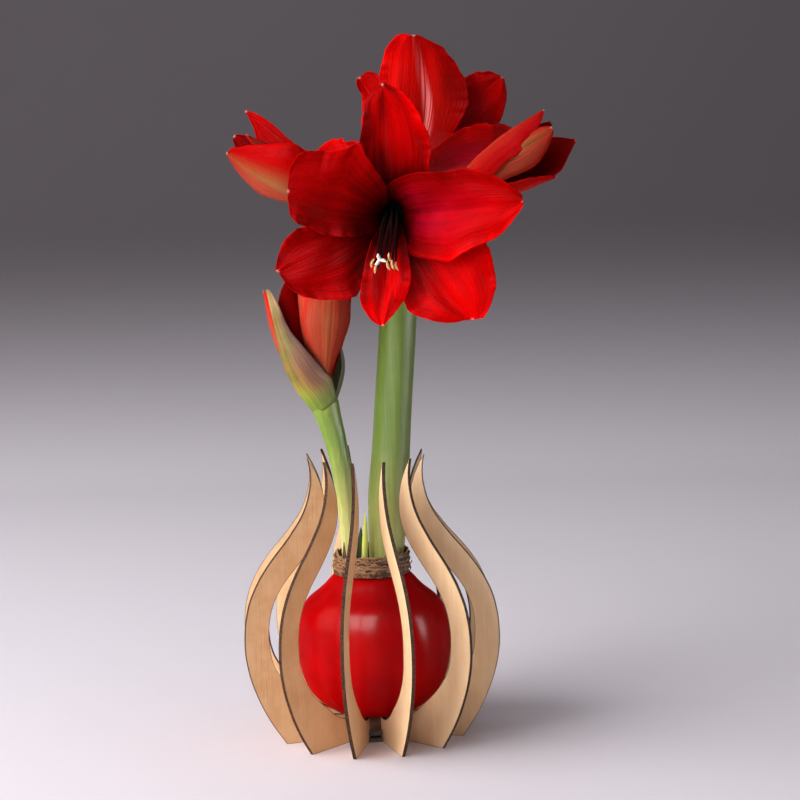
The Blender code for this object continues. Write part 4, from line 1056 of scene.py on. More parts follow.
def fin_tree():
    """Stands a fin in a ring round the axis, each copy with its own board tone."""
    tree = bpy.data.node_groups.new("Ring of fins", "GeometryNodeTree")
    face = tree.interface
    face.new_socket("Fin", in_out="INPUT", socket_type="NodeSocketGeometry")
    for label, kind in (("Fins", "Int"), ("First turn", "Float"), ("Seed", "Int")):
        face.new_socket(label, in_out="INPUT", socket_type="NodeSocket" + kind)
    face.new_socket("Finish", in_out="INPUT", socket_type="NodeSocketMaterial")
    face.new_socket("Stand", in_out="OUTPUT", socket_type="NodeSocketGeometry")
    made = Tree(tree)
    given = tree.nodes.new("NodeGroupInput").outputs
    index = made.add("GeometryNodeInputIndex").outputs[0]
    step = made.math("DIVIDE", math.tau, given["Fins"])
    turn = made.math("ADD", given["First turn"], made.math("MULTIPLY", step, index))
    euler = made.add("ShaderNodeCombineXYZ", {2: turn}).outputs[0]
    spin = made.add("FunctionNodeEulerToRotation", {0: euler}).outputs[0]
    spots = made.add("GeometryNodePoints", {"Count": given["Fins"]}).outputs[0]
    ring = made.add("GeometryNodeInstanceOnPoints", {"Points": spots, "Instance": given["Fin"],
                                                     "Rotation": spin}).outputs[0]
    chance = made.add("FunctionNodeRandomValue", {"Seed": given["Seed"]}, data_type="FLOAT")
    named = made.add("GeometryNodeStoreNamedAttribute", {
        "Geometry": ring, "Name": "board", "Value": chance.outputs[1]}, data_type="FLOAT",
        domain="INSTANCE")
    real = made.add("GeometryNodeRealizeInstances", {0: named.outputs[0]}).outputs[0]
    dressed = made.add("GeometryNodeSetMaterial", {0: real, "Material": given["Finish"]})
    made.add("NodeGroupOutput", {0: dressed.outputs[0]})
    return tree


def disc_outline():
    """The disc's edge: a circle with a slot for each fin."""
    settings = bpy.context.scene.amaryllis_stand
    half = settings.board / 2 + GAP
    rim = math.sqrt(DISC_RADIUS ** 2 - half ** 2)
    root = SLOT_FLOOR - GAP / 2
    side = math.asin(half / DISC_RADIUS)
    step = math.tau / settings.fins
    line = []
    for index in range(settings.fins):
        turn = FIRST_FIN + step * index - math.pi / 2
        spot = Matrix.Rotation(turn, 2)
        for x, y in ((rim, -half), (root, -half), (root, half), (rim, half)):
            line.append(tuple(spot @ Vector((x, y))))
        for share in np.linspace(0, 1, 10)[1:-1]:
            arc = turn + side + share * (step - 2 * side)
            line.append((DISC_RADIUS * math.cos(arc), DISC_RADIUS * math.sin(arc)))
    return line


class StandSettings(bpy.types.PropertyGroup):
    """Sizes and colour of the wooden stand."""
    board: bpy.props.FloatProperty(name="Board", description="Thickness of the wooden board",
                                   default=0.0021, unit="LENGTH")
    fins: bpy.props.IntProperty(name="Fins", description="How many fins stand round the bulb",
                                default=FIN_COUNT)
    wood: bpy.props.FloatVectorProperty(name="Wood", description="Colour of the board's faces",
                                        default=colour(232, 194, 150)[:3], subtype="COLOR")


class AMARYLLIS_OT_fins(bpy.types.Operator):
    """Builds the ring of wooden fins."""
    bl_idname = "amaryllis.fins"
    bl_label = "Fins"

    def execute(self, context):
        settings = context.scene.amaryllis_stand
        mesh = board_mesh("stand_fins", cut_line(fin_outline(), 8), settings.board)
        mesh.transform(Matrix.Rotation(math.pi / 2, 4, "X"))
        item = bpy.data.objects.new("stand_fins", mesh)
        context.scene.collection.objects.link(item)
        ring = item.modifiers.new("ring", "NODES")
        ring.node_group = fin_tree()
        set_inputs(ring, Fins=settings.fins, First_turn=FIRST_FIN - math.pi / 2, Seed=BOARD_SEED,
                   Finish=MATERIALS["wood"])
        finished(plain(item), "wood", *(f"fin_{i + 1:02d}" for i in range(FIN_COUNT)))
        return {"FINISHED"}


class AMARYLLIS_OT_discs(bpy.types.Operator):
    """Builds the two slotted discs that hold the fins."""
    bl_idname = "amaryllis.discs"
    bl_label = "Discs"

    def execute(self, context):
        thickness = context.scene.amaryllis_stand.board
        for name, height in (("base_disc_lower", LOWER_DISC), ("base_disc_upper", UPPER_DISC)):
            mesh = board_mesh("fine_" + name, disc_outline(), thickness)
            mesh.transform(Matrix.Translation((0.0, 0.0, height + thickness / 2)))
            item = add_object("fine_" + name, mesh, MATERIALS["disc"])
            mesh.shade_flat()
            finished(item, "wood", name)
        return {"FINISHED"}


# Bulb

def lathe(profile, around):
    """A grid of points of a profile turned round the Z axis: (profile, around, 3)."""
    turn = np.linspace(0, math.tau, around, endpoint=False)
    profile = np.asarray(profile, float)
    return np.stack((profile[:, :1] * np.cos(turn), profile[:, :1] * np.sin(turn),
                     np.broadcast_to(profile[:, 1:], (len(profile), around))), -1)


def closed_skin(name, grid, material):
    """A closed mesh of a grid whose columns go round, with a pole at each end."""
    rows, around = grid.shape[:2]
    points = np.concatenate((grid.reshape(-1, 3), grid[:1].mean(1), grid[-1:].mean(1)))
    index = np.arange(rows * around).reshape(rows, around)
    nxt = np.roll(index, -1, 1)
    faces = quads(index[:-1], nxt[:-1], nxt[1:], index[1:]).tolist()
    low, high = rows * around, rows * around + 1
    faces += [(low, b, a) for a, b in zip(index[0], nxt[0])]
    faces += [(high, a, b) for a, b in zip(index[-1], nxt[-1])]
    mesh = bpy.data.meshes.new(name)
    mesh.from_pydata(points.tolist(), [], [tuple(int(i) for i in face) for face in faces])
    shape = bmesh.new()
    shape.from_mesh(mesh)
    bmesh.ops.recalc_face_normals(shape, faces=shape.faces)
    shape.to_mesh(mesh)
    shape.free()
    return add_object(name, mesh, material)


class BulbSettings(bpy.types.PropertyGroup):
    """Colour and surface of the waxed bulb."""
    wax: bpy.props.FloatVectorProperty(name="Wax", description="Colour of the wax",
                                       default=colour(176, 0, 7)[:3], subtype="COLOR")
    swell: bpy.props.FloatProperty(name="Swell", description="Height of the bulb's soft bumps",
                                   default=0.0007, unit="LENGTH")


def bulb_change(turn, height, swell):
    """How far the wax stands off its turned profile: lumps, ribs and the slimmer shoulders."""
    x, y = math.cos(turn), math.sin(turn)
    lump = noise.noise(Vector((x * 1.4, y * 1.4, height * 26)))
    rib = noise.noise(Vector((x * 6.0, y * 6.0, height * 9)))
    share = float(smoothstep(0.018, 0.034, height) * smoothstep(0.1055, 0.098, height))
    level, spread, depth = SHOULDER
    slope = depth * math.exp(-((height - level) / spread) ** 2)
    level, spread, depth = RIGHT_SHOULDER
    right = depth * math.exp(-(turn / RIGHT_WIDTH) ** 2 - ((height - level) / spread) ** 2)
    return share * (swell * lump + 0.5 * swell * rib) - slope - right


class AMARYLLIS_OT_bulb(bpy.types.Operator):
    """Builds the bulb in its coat of wax."""
    bl_idname = "amaryllis.bulb"
    bl_label = "Waxed bulb"

    def execute(self, context):
        swell = context.scene.amaryllis_bulb.swell
        body = [Vector(spot) for spot in reversed(BULB_PROFILE)]
        top = [Vector(spot) for spot in WAX_RIM + BULB_CORE]
        line = [Vector((POLE_RADIUS, BULB_FOOT)), *body[:2], *smooth_route(body[2:], 5), *top]
        grid = lathe(line, BULB_COLUMNS)
        for row, (radius, height) in enumerate(line):
            for column in range(BULB_COLUMNS):
                x, y, z = grid[row, column]
                turn = math.atan2(y, x)
                scale = (radius + bulb_change(turn, height, swell)) / radius
                rag = WAX_RAG * math.sin(5 * turn + 1) * float(smoothstep(0.1035, 0.1044, z))
                grid[row, column] = (x * scale, y * scale, z + (rag if z < WAX_EDGE else 0.0))
        grid += np.array(BULB_AT)
        finished(closed_skin("fine_bulb", grid, MATERIALS["wax"]), "red_wax", "waxed_bulb")
        return {"FINISHED"}


def uneven(turns, pitch, seed):
    """Smooth noise round the neck, one value for each turn."""
    return np.array([noise.noise(Vector((math.cos(a) * pitch, math.sin(a) * pitch, seed)))
                     for a in turns])[None, :]


def add_skin(shell, index, start, sweep, foot, height, radius, curl, dark):
    """Adds one dry skin, which runs round the neck and has a ragged top edge."""
    columns, rows = max(24, int(sweep / 3)), SKIN_ROWS
    turn = np.radians(start + np.linspace(0, sweep, columns))
    up = np.linspace(0, 1, rows)[:, None]
    rag = uneven(turn, 5, index * 3.1) + 0.6 * uneven(turn, 16, index * 1.7)
    sway = uneven(turn, 2.2, index * 5.3)
    ends = np.minimum(np.linspace(0, 1, columns), np.linspace(1, 0, columns))
    tall = height * np.clip(ends * 9, 0.25, 1.0)[None, :] * (1 + 0.45 * rag)
    out = radius + curl * up ** 2 + 0.0005 * sway + 0.0002 * rag * up
    z = WAX_TOP + 0.0006 + foot + 0.0005 * sway + tall * up
    sheet = np.stack((np.cos(turn) * out, np.sin(turn) * out, z), -1) + np.array(BULB_AT)
    rim = np.broadcast_to(np.clip((up - 0.62) / 0.38, 0, 1), (rows, columns))
    shell.add(sheet, np.full((rows, columns), SKIN_WALL), rim=rim, dark=dark)


def add_point(shell, turn, height, half, lean):
    """Adds one torn point that stands up from the neck's edge."""
    up = np.linspace(0, 1, 12)[:, None]
    across = np.linspace(-1, 1, 9)[None, :]
    width = half * np.maximum(1 - up ** 1.6, 0.03)
    out = NECK_OUT - 0.0014 - 0.0012 * up ** 2 * lean
    angle = math.radians(turn - 90) + across * width / out
    z = NECK_TOP - 0.006 + up * (height + 0.006) + 0 * across
    sheet = np.stack((np.cos(angle) * out, np.sin(angle) * out, z), -1) + np.array(BULB_AT)
    shell.add(sheet, np.full(z.shape, POINT_WALL), rim=np.broadcast_to(up * 0.25, z.shape),
              dark=0.85)


class AMARYLLIS_OT_neck(bpy.types.Operator):
    """Builds the neck of dry papery skins."""
    bl_idname = "amaryllis.neck"
    bl_label = "Papery neck"

    def execute(self, context):
        shell = Shell()
        for index, skin in enumerate(NECK_SKINS):
            add_skin(shell, index, *skin)
        for point in NECK_POINTS:
            add_point(shell, *point)
        finished(shell.object("papery_neck", MATERIALS["skin"]), "dry_scale", "bulb_neck")
        return {"FINISHED"}


# Stems and leaf tips

def stalk_route(base, aim):
    """A bloom's stalk, from the top of the stem to the thicker ovary under the bloom."""
    aim = aim.normalized()
    end = base - aim * GAP
    foot = end - aim * OVARY_LENGTH
    low = UMBEL - Vector((0, 0, 0.006))
    middle = low.lerp(foot, 0.5) + Vector((0, 0, 0.003))
    points = [low, middle, foot, end - aim * 0.006, end + aim * 0.001]
    radii = [STALK_RADIUS, STALK_RADIUS, STALK_RADIUS, OVARY_RADIUS, OVARY_RADIUS * 0.86]
    return route(points, radii, 10)


class AMARYLLIS_OT_stems(bpy.types.Operator):
    """Builds the flower stem with its stalks, and the side stem."""
    bl_idname = "amaryllis.stems"
    bl_label = "Stems"

    def execute(self, context):
        main = route(STEM_ROUTE, STEM_RADII, 14)
        top = main[-1]
        main += [Vector((top.x, top.y, top.z + rise, top.w * share)) for rise, share in STEM_CROWN]
        item = stems("fine_flower_stem", [main], MATERIALS["stem"], 56)
        finished(add_ribs(item), "green_stem", "flower_stem")
        stalks = [stalk_route(base, aim) for base, aim in BLOOM_SEATS.values()]
        item = stems("bloom_stalks", stalks, MATERIALS["stalk"], 28)
        finished(item, "green_stem", "flower_stem")
        side = route(SIDE_ROUTE, SIDE_RADII, 12)
        item = stems("fine_side_stem", [side], MATERIALS["side"], 44)
        finished(add_ribs(item), "pale_stem", "side_stem")
        return {"FINISHED"}


def add_ribs(item):
    """Faint lengthwise ribs on a stem, and its level foot."""
    mesh = item.data
    mesh.shade_smooth()
    for vertex in mesh.vertices:
        normal = vertex.normal
        turn = math.atan2(normal.y, normal.x)
        if abs(normal.z) < 0.7:
            rib = math.sin(turn * 9 + 1.0) + 0.6 * math.sin(turn * 5)
            vertex.co += Vector((normal.x, normal.y, 0.0)) * rib * RIB_HEIGHT
        if vertex.co.z < STEM_FOOT + 0.0012:
            vertex.co.z = STEM_FOOT
    return item


class AMARYLLIS_OT_leaves(bpy.types.Operator):
    """Builds the two young leaf tips between the stems."""
    bl_idname = "amaryllis.leaves"
    bl_label = "Leaf tips"

    def execute(self, context):
        up = np.linspace(0, 1, 24)[:, None]
        across = np.linspace(-1, 1, 11)[None, :]
        for name, key, foot, top, half in LEAF_TIPS:
            foot, top = np.array(foot), np.array(top)
            width = half * np.clip(1 - up ** 3.0, 0.02, 1) ** 0.8
            centre = foot + (top - foot) * up[..., None]
            fold = 0.0009 * across ** 2 * (1 - 0.5 * up)
            sheet = np.stack((centre[..., 0] + across * width,
                              centre[..., 1] + fold - 0.0004, centre[..., 2] + 0 * across), -1)
            shell = Shell()
            shell.add(sheet, 0.0009 * (1 - 0.55 * up) * (1 - 0.5 * across ** 2))
            item = shell.object("fine_leaf_" + name, MATERIALS[key])
            finished(item, key, "leaf_tip_" + name)
        return {"FINISHED"}


# Blooms

class BloomSettings(bpy.types.PropertyGroup):
    """Colours and surface of the blooms."""
    # The tone mixes the blade between these two reds, painting its light and shade
    bright: bpy.props.FloatVectorProperty(name="Bright red", description="The blade's bright red",
                                          default=colour(224, 0, 3)[:3], subtype="COLOR")
    deep: bpy.props.FloatVectorProperty(name="Deep red", description="The blade's deep red",
                                        default=colour(118, 0, 2)[:3], subtype="COLOR")
    # The throat's colour is partly its own dark red and partly painted shade
    throat: bpy.props.FloatVectorProperty(name="Throat", description="Colour inside the throat",
                                          default=colour(74, 0, 8)[:3], subtype="COLOR")
    rib: bpy.props.FloatVectorProperty(name="Midrib", description="The pink of the midrib's lines",
                                       default=colour(226, 120, 120)[:3], subtype="COLOR")
    salmon: bpy.props.FloatVectorProperty(name="Back", description="The paler back of a tepal",
                                          default=colour(166, 76, 54)[:3], subtype="COLOR")
    # The tepals' magenta sheen is a painted sheen
    sheen: bpy.props.FloatVectorProperty(name="Sheen", description="The magenta sheen of a tepal",
                                         default=colour(188, 22, 62)[:3], subtype="COLOR")
    thickness: bpy.props.FloatProperty(name="Thickness", description="Thickness of a tepal",
                                       default=0.0007, unit="LENGTH")
    ruffle: bpy.props.FloatProperty(name="Ruffle", description="Height of the edges' fine ripple",
                                    default=0.0011, unit="LENGTH")


def bloom_frame(base, aim, top=UP):
    """The bloom's placing: +Z along its aim, and +X as near to top as it can be."""
    forward = aim.normalized()
    top = (top - forward * forward.dot(top)).normalized()
    turn = Matrix((top, forward.cross(top), forward)).transposed().to_4x4()
    return Matrix.Translation(base) @ turn


def eased(stations, along):
    """A smooth line through stations, a list of (place, value)."""
    place, value = np.array(stations, float).T
    slope = np.gradient(value, place)
    index = np.clip(np.searchsorted(place, along, side="right") - 1, 0, len(place) - 2)
    wide = place[index + 1] - place[index]
    t = (along - place[index]) / wide
    return ((1 + 2 * t) * (1 - t) ** 2 * value[index] + t * (1 - t) ** 2 * wide * slope[index]
            + t * t * (3 - 2 * t) * value[index + 1] + t * t * (t - 1) * wide * slope[index + 1])


def tepal_rows(rows):
    """Shares of a tepal's length from foot to tip, closer together towards the tip."""
    steps = np.linspace(0, 1, rows)
    return 1.0 - (1.0 - steps) ** 1.35


def half_widths(tepal, along):
    """The tepal's half width on each side, from its own edge list or from the common rule."""
    if tepal.edge:
        place, first, second = zip(*tepal.edge)
        return [np.maximum(eased(list(zip(place, side)), along) / 1000, TIP_HALF / 2)
                for side in (first, second)]
    blade = tepal.claw + (1.0 - tepal.claw) * smoothstep(0.0, tepal.crest, along)
    tip = np.maximum(0.0, 1.0 - along ** tepal.square) ** tepal.point
    return [tepal.half * blade * tip + TIP_HALF] * 2


def centre_line(tepal, reach):
    """How far out and how high a tepal's middle line is, and how it leans, at shares of it."""
    steps = np.linspace(0, 1.2, LINE_STEPS + 1)
    lean = tepal.lean + (tepal.tip_lean - tepal.lean) * smoothstep(*tepal.flare, steps)
    lean = np.radians(lean + tepal.curl * smoothstep(0.72, 1.0, steps))
    stride = tepal.length * 1.2 / LINE_STEPS
    out = tepal.root + np.concatenate(((0.0,), np.cumsum(np.sin(lean[:-1])))) * stride
    up = ROOT_HEIGHT + np.concatenate(((0.0,), np.cumsum(np.cos(lean[:-1])))) * stride
    return [np.interp(reach, steps, line) for line in (out, up, lean)]


def tepal_sheet(tepal, rows, columns, ruffle):
    """The tepal's middle surface in the bloom's frame: a grid of points (rows, columns, 3)."""
    along = tepal_rows(rows)[:, None]
    across = np.linspace(-1, 1, columns)[None, :]
    out, up, lean = centre_line(tepal, along * (1 + tepal.skew * across))
    first, second = half_widths(tepal, along)
    middle = (first + second) / 2
    seed = tepal.phase * 3.7 + tepal.turn * 0.31
    open_part = smoothstep(0.2, 0.55, along)
    fine, broad = (edge_noise(along, across, pitch, seed) for pitch in (34, 9))
    shake = 22.0 * ruffle * (1.1 * fine + 1.2 * broad)
    half = np.where(across < 0, first, second) * (1 + shake * np.abs(across) ** 4 * open_part)
    wrap = np.radians(tepal.wrap + (tepal.tip_wrap - tepal.wrap) * smoothstep(*tepal.unwrap, along))
    bend = wrap * across * half / middle
    side = np.sin(bend) * middle / wrap
    lift = (1.0 - np.cos(bend)) * middle / wrap + tepal_lift(tepal, along, across, ruffle, seed)
    points = np.stack((out - np.cos(lean) * lift, side + 0 * lift, up + np.sin(lean) * lift), -1)
    spin = np.array(Matrix.Rotation(math.radians(tepal.turn), 3, "Z"))
    return points @ spin.T


def tepal_lift(tepal, along, across, ruffle, seed):
    """How far waves, ripples, folds, groove and pleats lift a tepal off its round section."""
    open_part = smoothstep(0.2, 0.55, along)
    turn = tepal.waves * math.tau * along + tepal.phase + np.where(across > 0, 1.9, 0.0)
    lift = tepal.wave * across ** 2 * open_part * np.sin(turn)
    ripple = edge_noise(along, across, 13, seed + 4.0) + 0.5 * edge_noise(along, across, 30, seed)
    lift = lift + 2.4 * ruffle * np.abs(across) ** 4 * open_part * ripple
    lift = lift + 1.6 * ruffle * open_part * blade_noise(along, across, seed)
    for place, level, long, wide, high in tepal.folds:
        lift = lift + high / 1000 * np.exp(-((along - place) / long) ** 2
                                           - ((across - level) / wide) ** 2)
    groove = np.exp(-(across / 0.07) ** 2) * smoothstep(0.05, 0.3, along)
    pleats = np.cos(across * math.pi * 7) * (1 - across ** 2) * np.sin(math.pi * along ** 0.8)
    return lift - 0.0009 * groove * (1 - 0.7 * along) + 0.00010 * pleats


def edge_noise(along, across, pitch, seed):
    """Uneven waves along a tepal's two edges, of their own on each side."""
    sides = np.array([[noise.noise(Vector((float(a) * pitch, side * 5.0, seed)))
                       for side in (-1, 1)] for a in along[:, 0]])
    return np.where(across < 0, sides[:, :1], sides[:, 1:])


def blade_noise(along, across, seed):
    """Soft uneven swellings over a tepal's whole blade, longer than they are wide."""
    return np.array([[noise.noise(Vector((float(a) * 5.0, float(c) * 2.6, seed)))
                      for c in across[0]] for a in along[:, 0]])


def add_tepals(shell, place, tepals, rows, columns, ruffle, thickness):
    """Adds a bloom's tepals to a shell, each with its own look."""
    turn, move = np.array(place.to_3x3()), np.array(place.translation)
    across = np.linspace(-1, 1, columns)[None, :]
    along = tepal_rows(rows)[:, None]
    for tepal, look in tepals:
        sheet = tepal_sheet(tepal, rows, columns, ruffle) @ turn.T + move
        wall = thickness * (1 - 0.45 * np.abs(across) ** 3) * (1 - 0.35 * along)
        values = look._asdict()
        side, sweep, rise = (values.pop(key) for key in ("side", "sweep", "rise"))
        # The tone, its sweep across and its rise along are painted light and shade
        values["tone"] = look.tone + sweep * across + rise * (along - 0.5)
        values["salmon"] = look.salmon * np.clip(1 + side * across, 0, 1.3) + 0 * along
        reach = np.linalg.norm(sheet - sheet[-1, columns // 2], axis=2)
        values["tip"] = 1 - smoothstep(0.0004, 0.0016, reach)
        values["seed"] = (tepal.turn * 0.137) % 1.0
        shell.add(sheet, wall, along[:, 0], **values)


def axis_route(place, profile):
    """A route up a bloom's axis for a round stem, of (height, radius) pairs."""
    return [Vector((*(place @ Vector((0, 0, height))), radius)) for height, radius in profile]


def tube_skin(place, share):
    """The route of the tube at a bloom's base."""
    return axis_route(place, [(height * share, TUBE_FOOT * share * wide)
                              for height, wide in TUBE_PROFILE])


def thread_line(place, turn, ring, tip):
    """The route of a filament or the style, from the bloom's tube to its tip."""
    root = Vector((ring * math.cos(turn), ring * math.sin(turn), TUBE_LENGTH - 0.002))
    points = [root, Vector((root.x + tip.x * 0.25, root.y + tip.y * 0.3, tip.z * 0.45)),
              Vector((tip.x * 0.98, tip.y * 0.8, tip.z * 0.8)), tip]
    return [place @ point for point in points]


def bean(points, faces, centre, aim, side, length, wide, groove):
    """Adds a small bean shape, such as an anther or a lobe of the stigma, to a mesh's lists."""
    shape = bmesh.new()
    bmesh.ops.create_uvsphere(shape, u_segments=16, v_segments=12, radius=1.0)
    aim = aim.normalized()
    side = (side - aim * aim.dot(side)).normalized()
    turn = Matrix((side, aim.cross(side), aim)).transposed()
    first = len(points)
    for vertex in shape.verts:
        x, y, z = vertex.co
        pinch = 1.0 - groove * math.exp(-(x / 0.28) ** 2) * (1 if y > 0 else 0)
        spot = Vector((x * wide, y * wide * pinch + 0.25 * length * z * z, z * length))
        points.append(tuple(turn @ spot + centre))
    faces.extend([first + v.index for v in face.verts] for face in shape.faces)
    shape.free()


def build_stamens(name, place, reach):
    """Six filaments with their anthers, and the style with its three-lobed stigma."""
    routes, anthers = [], ([], [])
    forward = place.to_3x3() @ Vector((0, 0, 1))
    top = place.to_3x3() @ Vector((1, 0, 0))
    style = thread_line(place, 0.0, 0.0, Vector((*STIGMA, reach * 1.06)))
    routes.append(route(style, STYLE_RADII, 12))
    for index, (drop, fan, share) in enumerate(ANTHERS):
        turn = math.tau * index / 6
        line = thread_line(place, turn, THREAD_RING, Vector((drop, fan, reach * share)))
        routes.append(route(line, FILAMENT_RADII, 12))
        swing = -1 if fan > 0.002 else 0.6
        hang = (top + forward * 0.3 * math.sin(index * 2.1)
                + forward.cross(top) * 0.35 * swing)
        bean(*anthers, line[-1], hang, forward, *ANTHER_SIZE)
    finished(stems(name + "_filaments", routes, MATERIALS["thread"], 10), "red_tepal", name)
    lobes = stigma_lobes(style[-1], forward, top)
    for key, (points, faces) in (("anthers", anthers), ("stigma", lobes)):
        mesh = bpy.data.meshes.new(f"{name}_{key}")
        mesh.from_pydata(points, [], faces)
        item = add_object(f"{name}_{key}", mesh, MATERIALS[key.rstrip("s")])
        finished(item, "red_tepal", name)


def stigma_lobes(tip, forward, top):
    """Three short lobes that curl out from the style's tip."""
    lists = ([], [])
    across = forward.cross(top)
    for turn in (0.4, 2.5, 4.6):
        out = top * math.cos(turn) + across * math.sin(turn)
        bean(*lists, tip + out * 0.0017 + forward * 0.0006, out + forward * 0.4, forward,
             *LOBE_SIZE)
    return lists


def build_bloom(name, tepals, mesh_size, reach=None):
    """One bloom on its stalk: tepals, tube, and its stamens where they have a reach."""
    settings = bpy.context.scene.amaryllis_bloom
    base, aim = BLOOM_SEATS[name]
    place = bloom_frame(base, aim)
    node = "bloom_" + name
    shell = Shell()
    ruffle = settings.ruffle if reach else SHUT_RUFFLE
    add_tepals(shell, place, tepals, *mesh_size, ruffle, settings.thickness)
    finished(shell.object(node + "_tepals", MATERIALS["petal"]), "red_tepal", node)
    item = stems(node + "_tube", [tube_skin(place, 1.0)], MATERIALS["stalk"], 32)
    finished(item, "red_tepal", node)
    # The throat's floor: a near-black plug of painted shade deep in the tube
    throat = axis_route(place, THROAT_PROFILE)
    finished(stems(node + "_throat", [throat], MATERIALS["throat"], 32), "red_tepal", node)
    if reach:
        build_stamens(node, place, reach)


class AMARYLLIS_OT_blooms(bpy.types.Operator):
    """Builds the two open blooms and the two half-open ones."""
    bl_idname = "amaryllis.blooms"
    bl_label = "Blooms"

    def execute(self, context):
        build_bloom("front", FRONT_TEPALS, OPEN_MESH, FRONT_REACH)
        build_bloom("rear", REAR_TEPALS, OPEN_MESH, REAR_REACH)
        build_bloom("left", LEFT_TEPALS, SHUT_MESH)
        build_bloom("right", RIGHT_TEPALS, SHUT_MESH)
        return {"FINISHED"}


class AMARYLLIS_OT_spathe(bpy.types.Operator):
    """Builds the side stem's papery spathe."""
    bl_idname = "amaryllis.spathe"
    bl_label = "Spathe"

    def execute(self, context):
        place = bloom_frame(SPATHE_BASE, SPATHE_AIM, FRONT)
        shell = Shell()
        low = place @ Matrix.Translation((0.0, 0.0, -SPATHE_DROP))
        add_tepals(shell, low, VALVES, *SHUT_MESH, 0.0, SPATHE_WALL)
        finished(shell.object("fine_spathe", MATERIALS["spathe"]), "spathe", "spathe")
        cup = axis_route(place, [(height, SPATHE_FOOT * wide) for height, wide in CUP_PROFILE])
        finished(stems("spathe_cup", [cup], MATERIALS["side"], 44), "spathe", "spathe")
        return {"FINISHED"}


class AMARYLLIS_OT_buds(bpy.types.Operator):
    """Builds the two buds that stand in the spathe."""
    bl_idname = "amaryllis.buds"
    bl_label = "Buds"

    def execute(self, context):
        shell = Shell()
        tubes = []
        for base, aim, tepals, share in BUDS:
            place = bloom_frame(base, aim, FRONT)
            add_tepals(shell, place, tepals, *BUD_MESH, BUD_RUFFLE, BUD_WALL)
            tubes.append(tube_skin(place, share))
        finished(shell.object("fine_buds", MATERIALS["petal"]), "red_tepal", "side_buds")
        finished(stems("bud_tubes", tubes, MATERIALS["stalk"], 24), "red_tepal", "side_buds")
        return {"FINISHED"}


# Stage

class StageSettings(bpy.types.PropertyGroup):
    """The plain studio round the plant."""
    floor: bpy.props.FloatVectorProperty(name="Floor", description="Colour of the floor",
                                         default=colour(222, 214, 221)[:3], subtype="COLOR")
    key: bpy.props.FloatProperty(name="Key light", description="Power of the main light, in watts",
                                 default=36.0)


def soft_light(name, place, target, size, power):
    """A rectangular area light turned towards a point."""
    light = bpy.data.lights.new(name, "AREA")
    light.shape = "RECTANGLE"
    light.size, light.size_y = size
    light.energy = power
    item = bpy.data.objects.new(name, light)
    item.location = place
    item.rotation_euler = (Vector(target) - Vector(place)).to_track_quat("-Z", "Y").to_euler()
    bpy.context.scene.collection.objects.link(item)
    return item


def paper_finish(tint):
    """The studio's pale paper, with painted shade that greys it towards the top of the backdrop."""
    paper = Finish("studio paper", Specular_IOR_Level=0.2)
    spots = paper.noise(paper.place, 3.0, 3.0)
    pale = paper.mix(paper.between(spots, 0.3, 0.7, 0.0, 0.25), (*tint, 1.0),
                     colour(214, 206, 214))
    # Painted shade: greyer as the backdrop rises
    height = paper.add("ShaderNodeSeparateXYZ", {0: paper.place}).outputs[2]
    rise = paper.math("POWER", paper.math("MAXIMUM", height, 0.0), 0.5)
    paper.set(Base_Color=paper.mix(paper.between(rise, 0.0, 0.50), pale, colour(88, 82, 85)),
              Roughness=paper.between(spots, 0.3, 0.7, 0.7, 0.8))
    return paper.material


def studio_floor(tint):
    """A floor that sweeps up into a backdrop."""
    bend = np.linspace(0, math.pi / 2, 24)
    line = [(-FLOOR_REACH, 0.0),
            *((SWEEP + SWEEP * math.sin(a), SWEEP - SWEEP * math.cos(a)) for a in bend),
            (2 * SWEEP, FLOOR_REACH)]
    points = [(x, y, z) for y, z in line for x in (-FLOOR_REACH, FLOOR_REACH)]
    faces = [(2 * i, 2 * i + 1, 2 * i + 3, 2 * i + 2) for i in range(len(line) - 1)]
    mesh = bpy.data.meshes.new("studio_floor")
    mesh.from_pydata(points, [], faces)
    return add_object("studio_floor", mesh, paper_finish(tint))


def studio_air():
    """The faint blue light from all round."""
    world = bpy.data.worlds.new("studio air")
    world.use_nodes = True
    background = world.node_tree.nodes["Background"]
    background.inputs[0].default_value = (0.9, 0.93, 1.0, 1.0)
    background.inputs[1].default_value = 0.25
    return world


def photo_camera():
    """The camera at the photograph's place."""
    camera = bpy.data.cameras.new("camera")
    camera.lens = CAMERA_LENS
    camera.sensor_width = 36.0
    camera.sensor_fit = "HORIZONTAL"
    camera.clip_start = 0.05
    item = bpy.data.objects.new("camera", camera)
    forward = Vector((0.0, math.cos(CAMERA_PITCH), -math.sin(CAMERA_PITCH)))
    level = Vector((1.0, 0.0, 0.0))
    top = level.cross(forward)
    right = level * math.cos(CAMERA_ROLL) + top * math.sin(CAMERA_ROLL)
    top = top * math.cos(CAMERA_ROLL) - level * math.sin(CAMERA_ROLL)
    turn = Matrix((right, top, -forward)).transposed().to_4x4()
    item.matrix_world = Matrix.Translation(CAMERA_AT) @ turn
    bpy.context.scene.collection.objects.link(item)
    return item


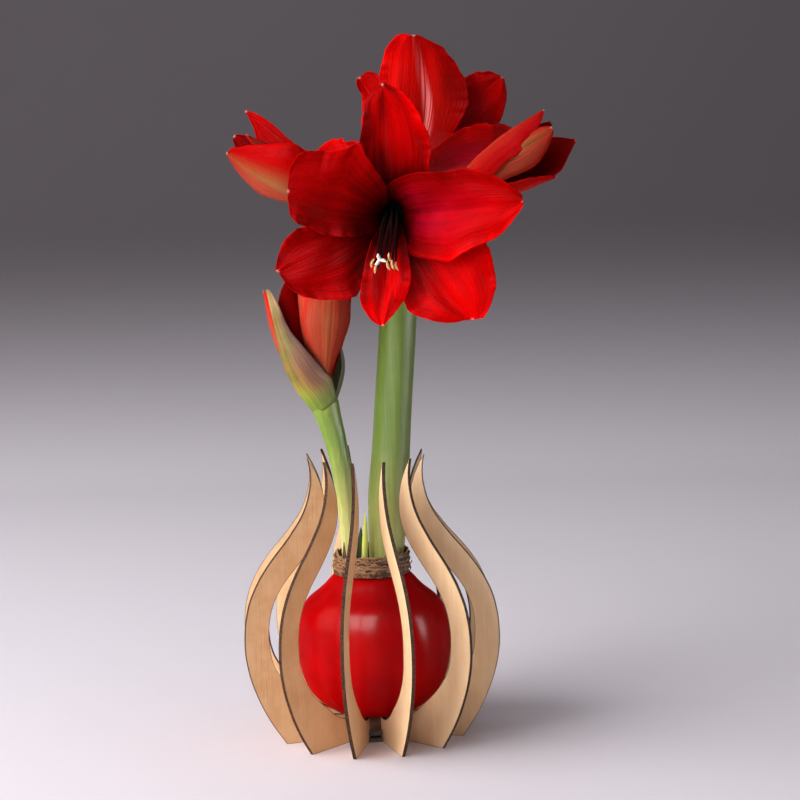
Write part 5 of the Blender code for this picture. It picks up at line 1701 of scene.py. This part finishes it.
class AMARYLLIS_OT_stage(bpy.types.Operator):
    """Builds the floor, the lights and the camera."""
    bl_idname = "amaryllis.stage"
    bl_label = "Stage"

    def execute(self, context):
        scene = context.scene
        settings = scene.amaryllis_stage
        floor = studio_floor(settings.floor)
        name, place, target, size = KEY_LIGHT
        soft_light(name, place, target, size, settings.key)
        for lamp in SHINES:
            soft_light(*lamp).visible_diffuse = False
        for lamp in FILLS:
            soft_light(*lamp).visible_glossy = False
        scene.world = studio_air()
        scene.camera = photo_camera()
        scene.view_settings.view_transform = "Standard"
        return {"FINISHED"}


class AMARYLLIS_PT_panel(bpy.types.Panel):
    """Lists the steps that build the plant."""
    bl_label = "Waxed amaryllis"
    bl_idname = "AMARYLLIS_PT_panel"
    bl_space_type = "VIEW_3D"
    bl_region_type = "UI"
    bl_category = "Amaryllis"

    def draw(self, context):
        for name in ("stand", "bulb", "bloom", "stage"):
            settings = getattr(context.scene, "amaryllis_" + name)
            for key in settings.__annotations__:
                self.layout.prop(settings, key)
        for step in STEPS:
            self.layout.operator(step.bl_idname)


STEPS = (AMARYLLIS_OT_fins, AMARYLLIS_OT_discs, AMARYLLIS_OT_bulb, AMARYLLIS_OT_neck,
         AMARYLLIS_OT_stems, AMARYLLIS_OT_leaves, AMARYLLIS_OT_blooms, AMARYLLIS_OT_spathe,
         AMARYLLIS_OT_buds, AMARYLLIS_OT_stage)
SETTINGS = {"stand": StandSettings, "bulb": BulbSettings, "bloom": BloomSettings,
            "stage": StageSettings}
MATERIALS = {}


def register():
    for name, kind in SETTINGS.items():
        bpy.utils.register_class(kind)
        setattr(bpy.types.Scene, "amaryllis_" + name, bpy.props.PointerProperty(type=kind))
    for step in (*STEPS, AMARYLLIS_PT_panel):
        bpy.utils.register_class(step)


def unregister():
    for step in reversed((*STEPS, AMARYLLIS_PT_panel)):
        bpy.utils.unregister_class(step)
    for name, kind in SETTINGS.items():
        delattr(bpy.types.Scene, "amaryllis_" + name)
        bpy.utils.unregister_class(kind)


def main():
    register()
    MATERIALS.update(make_materials(bpy.context.scene))
    for step in STEPS:
        group_name, label = step.bl_idname.split(".")
        getattr(getattr(bpy.ops, group_name), label)()
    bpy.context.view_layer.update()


if __name__ == "__main__":
    main()
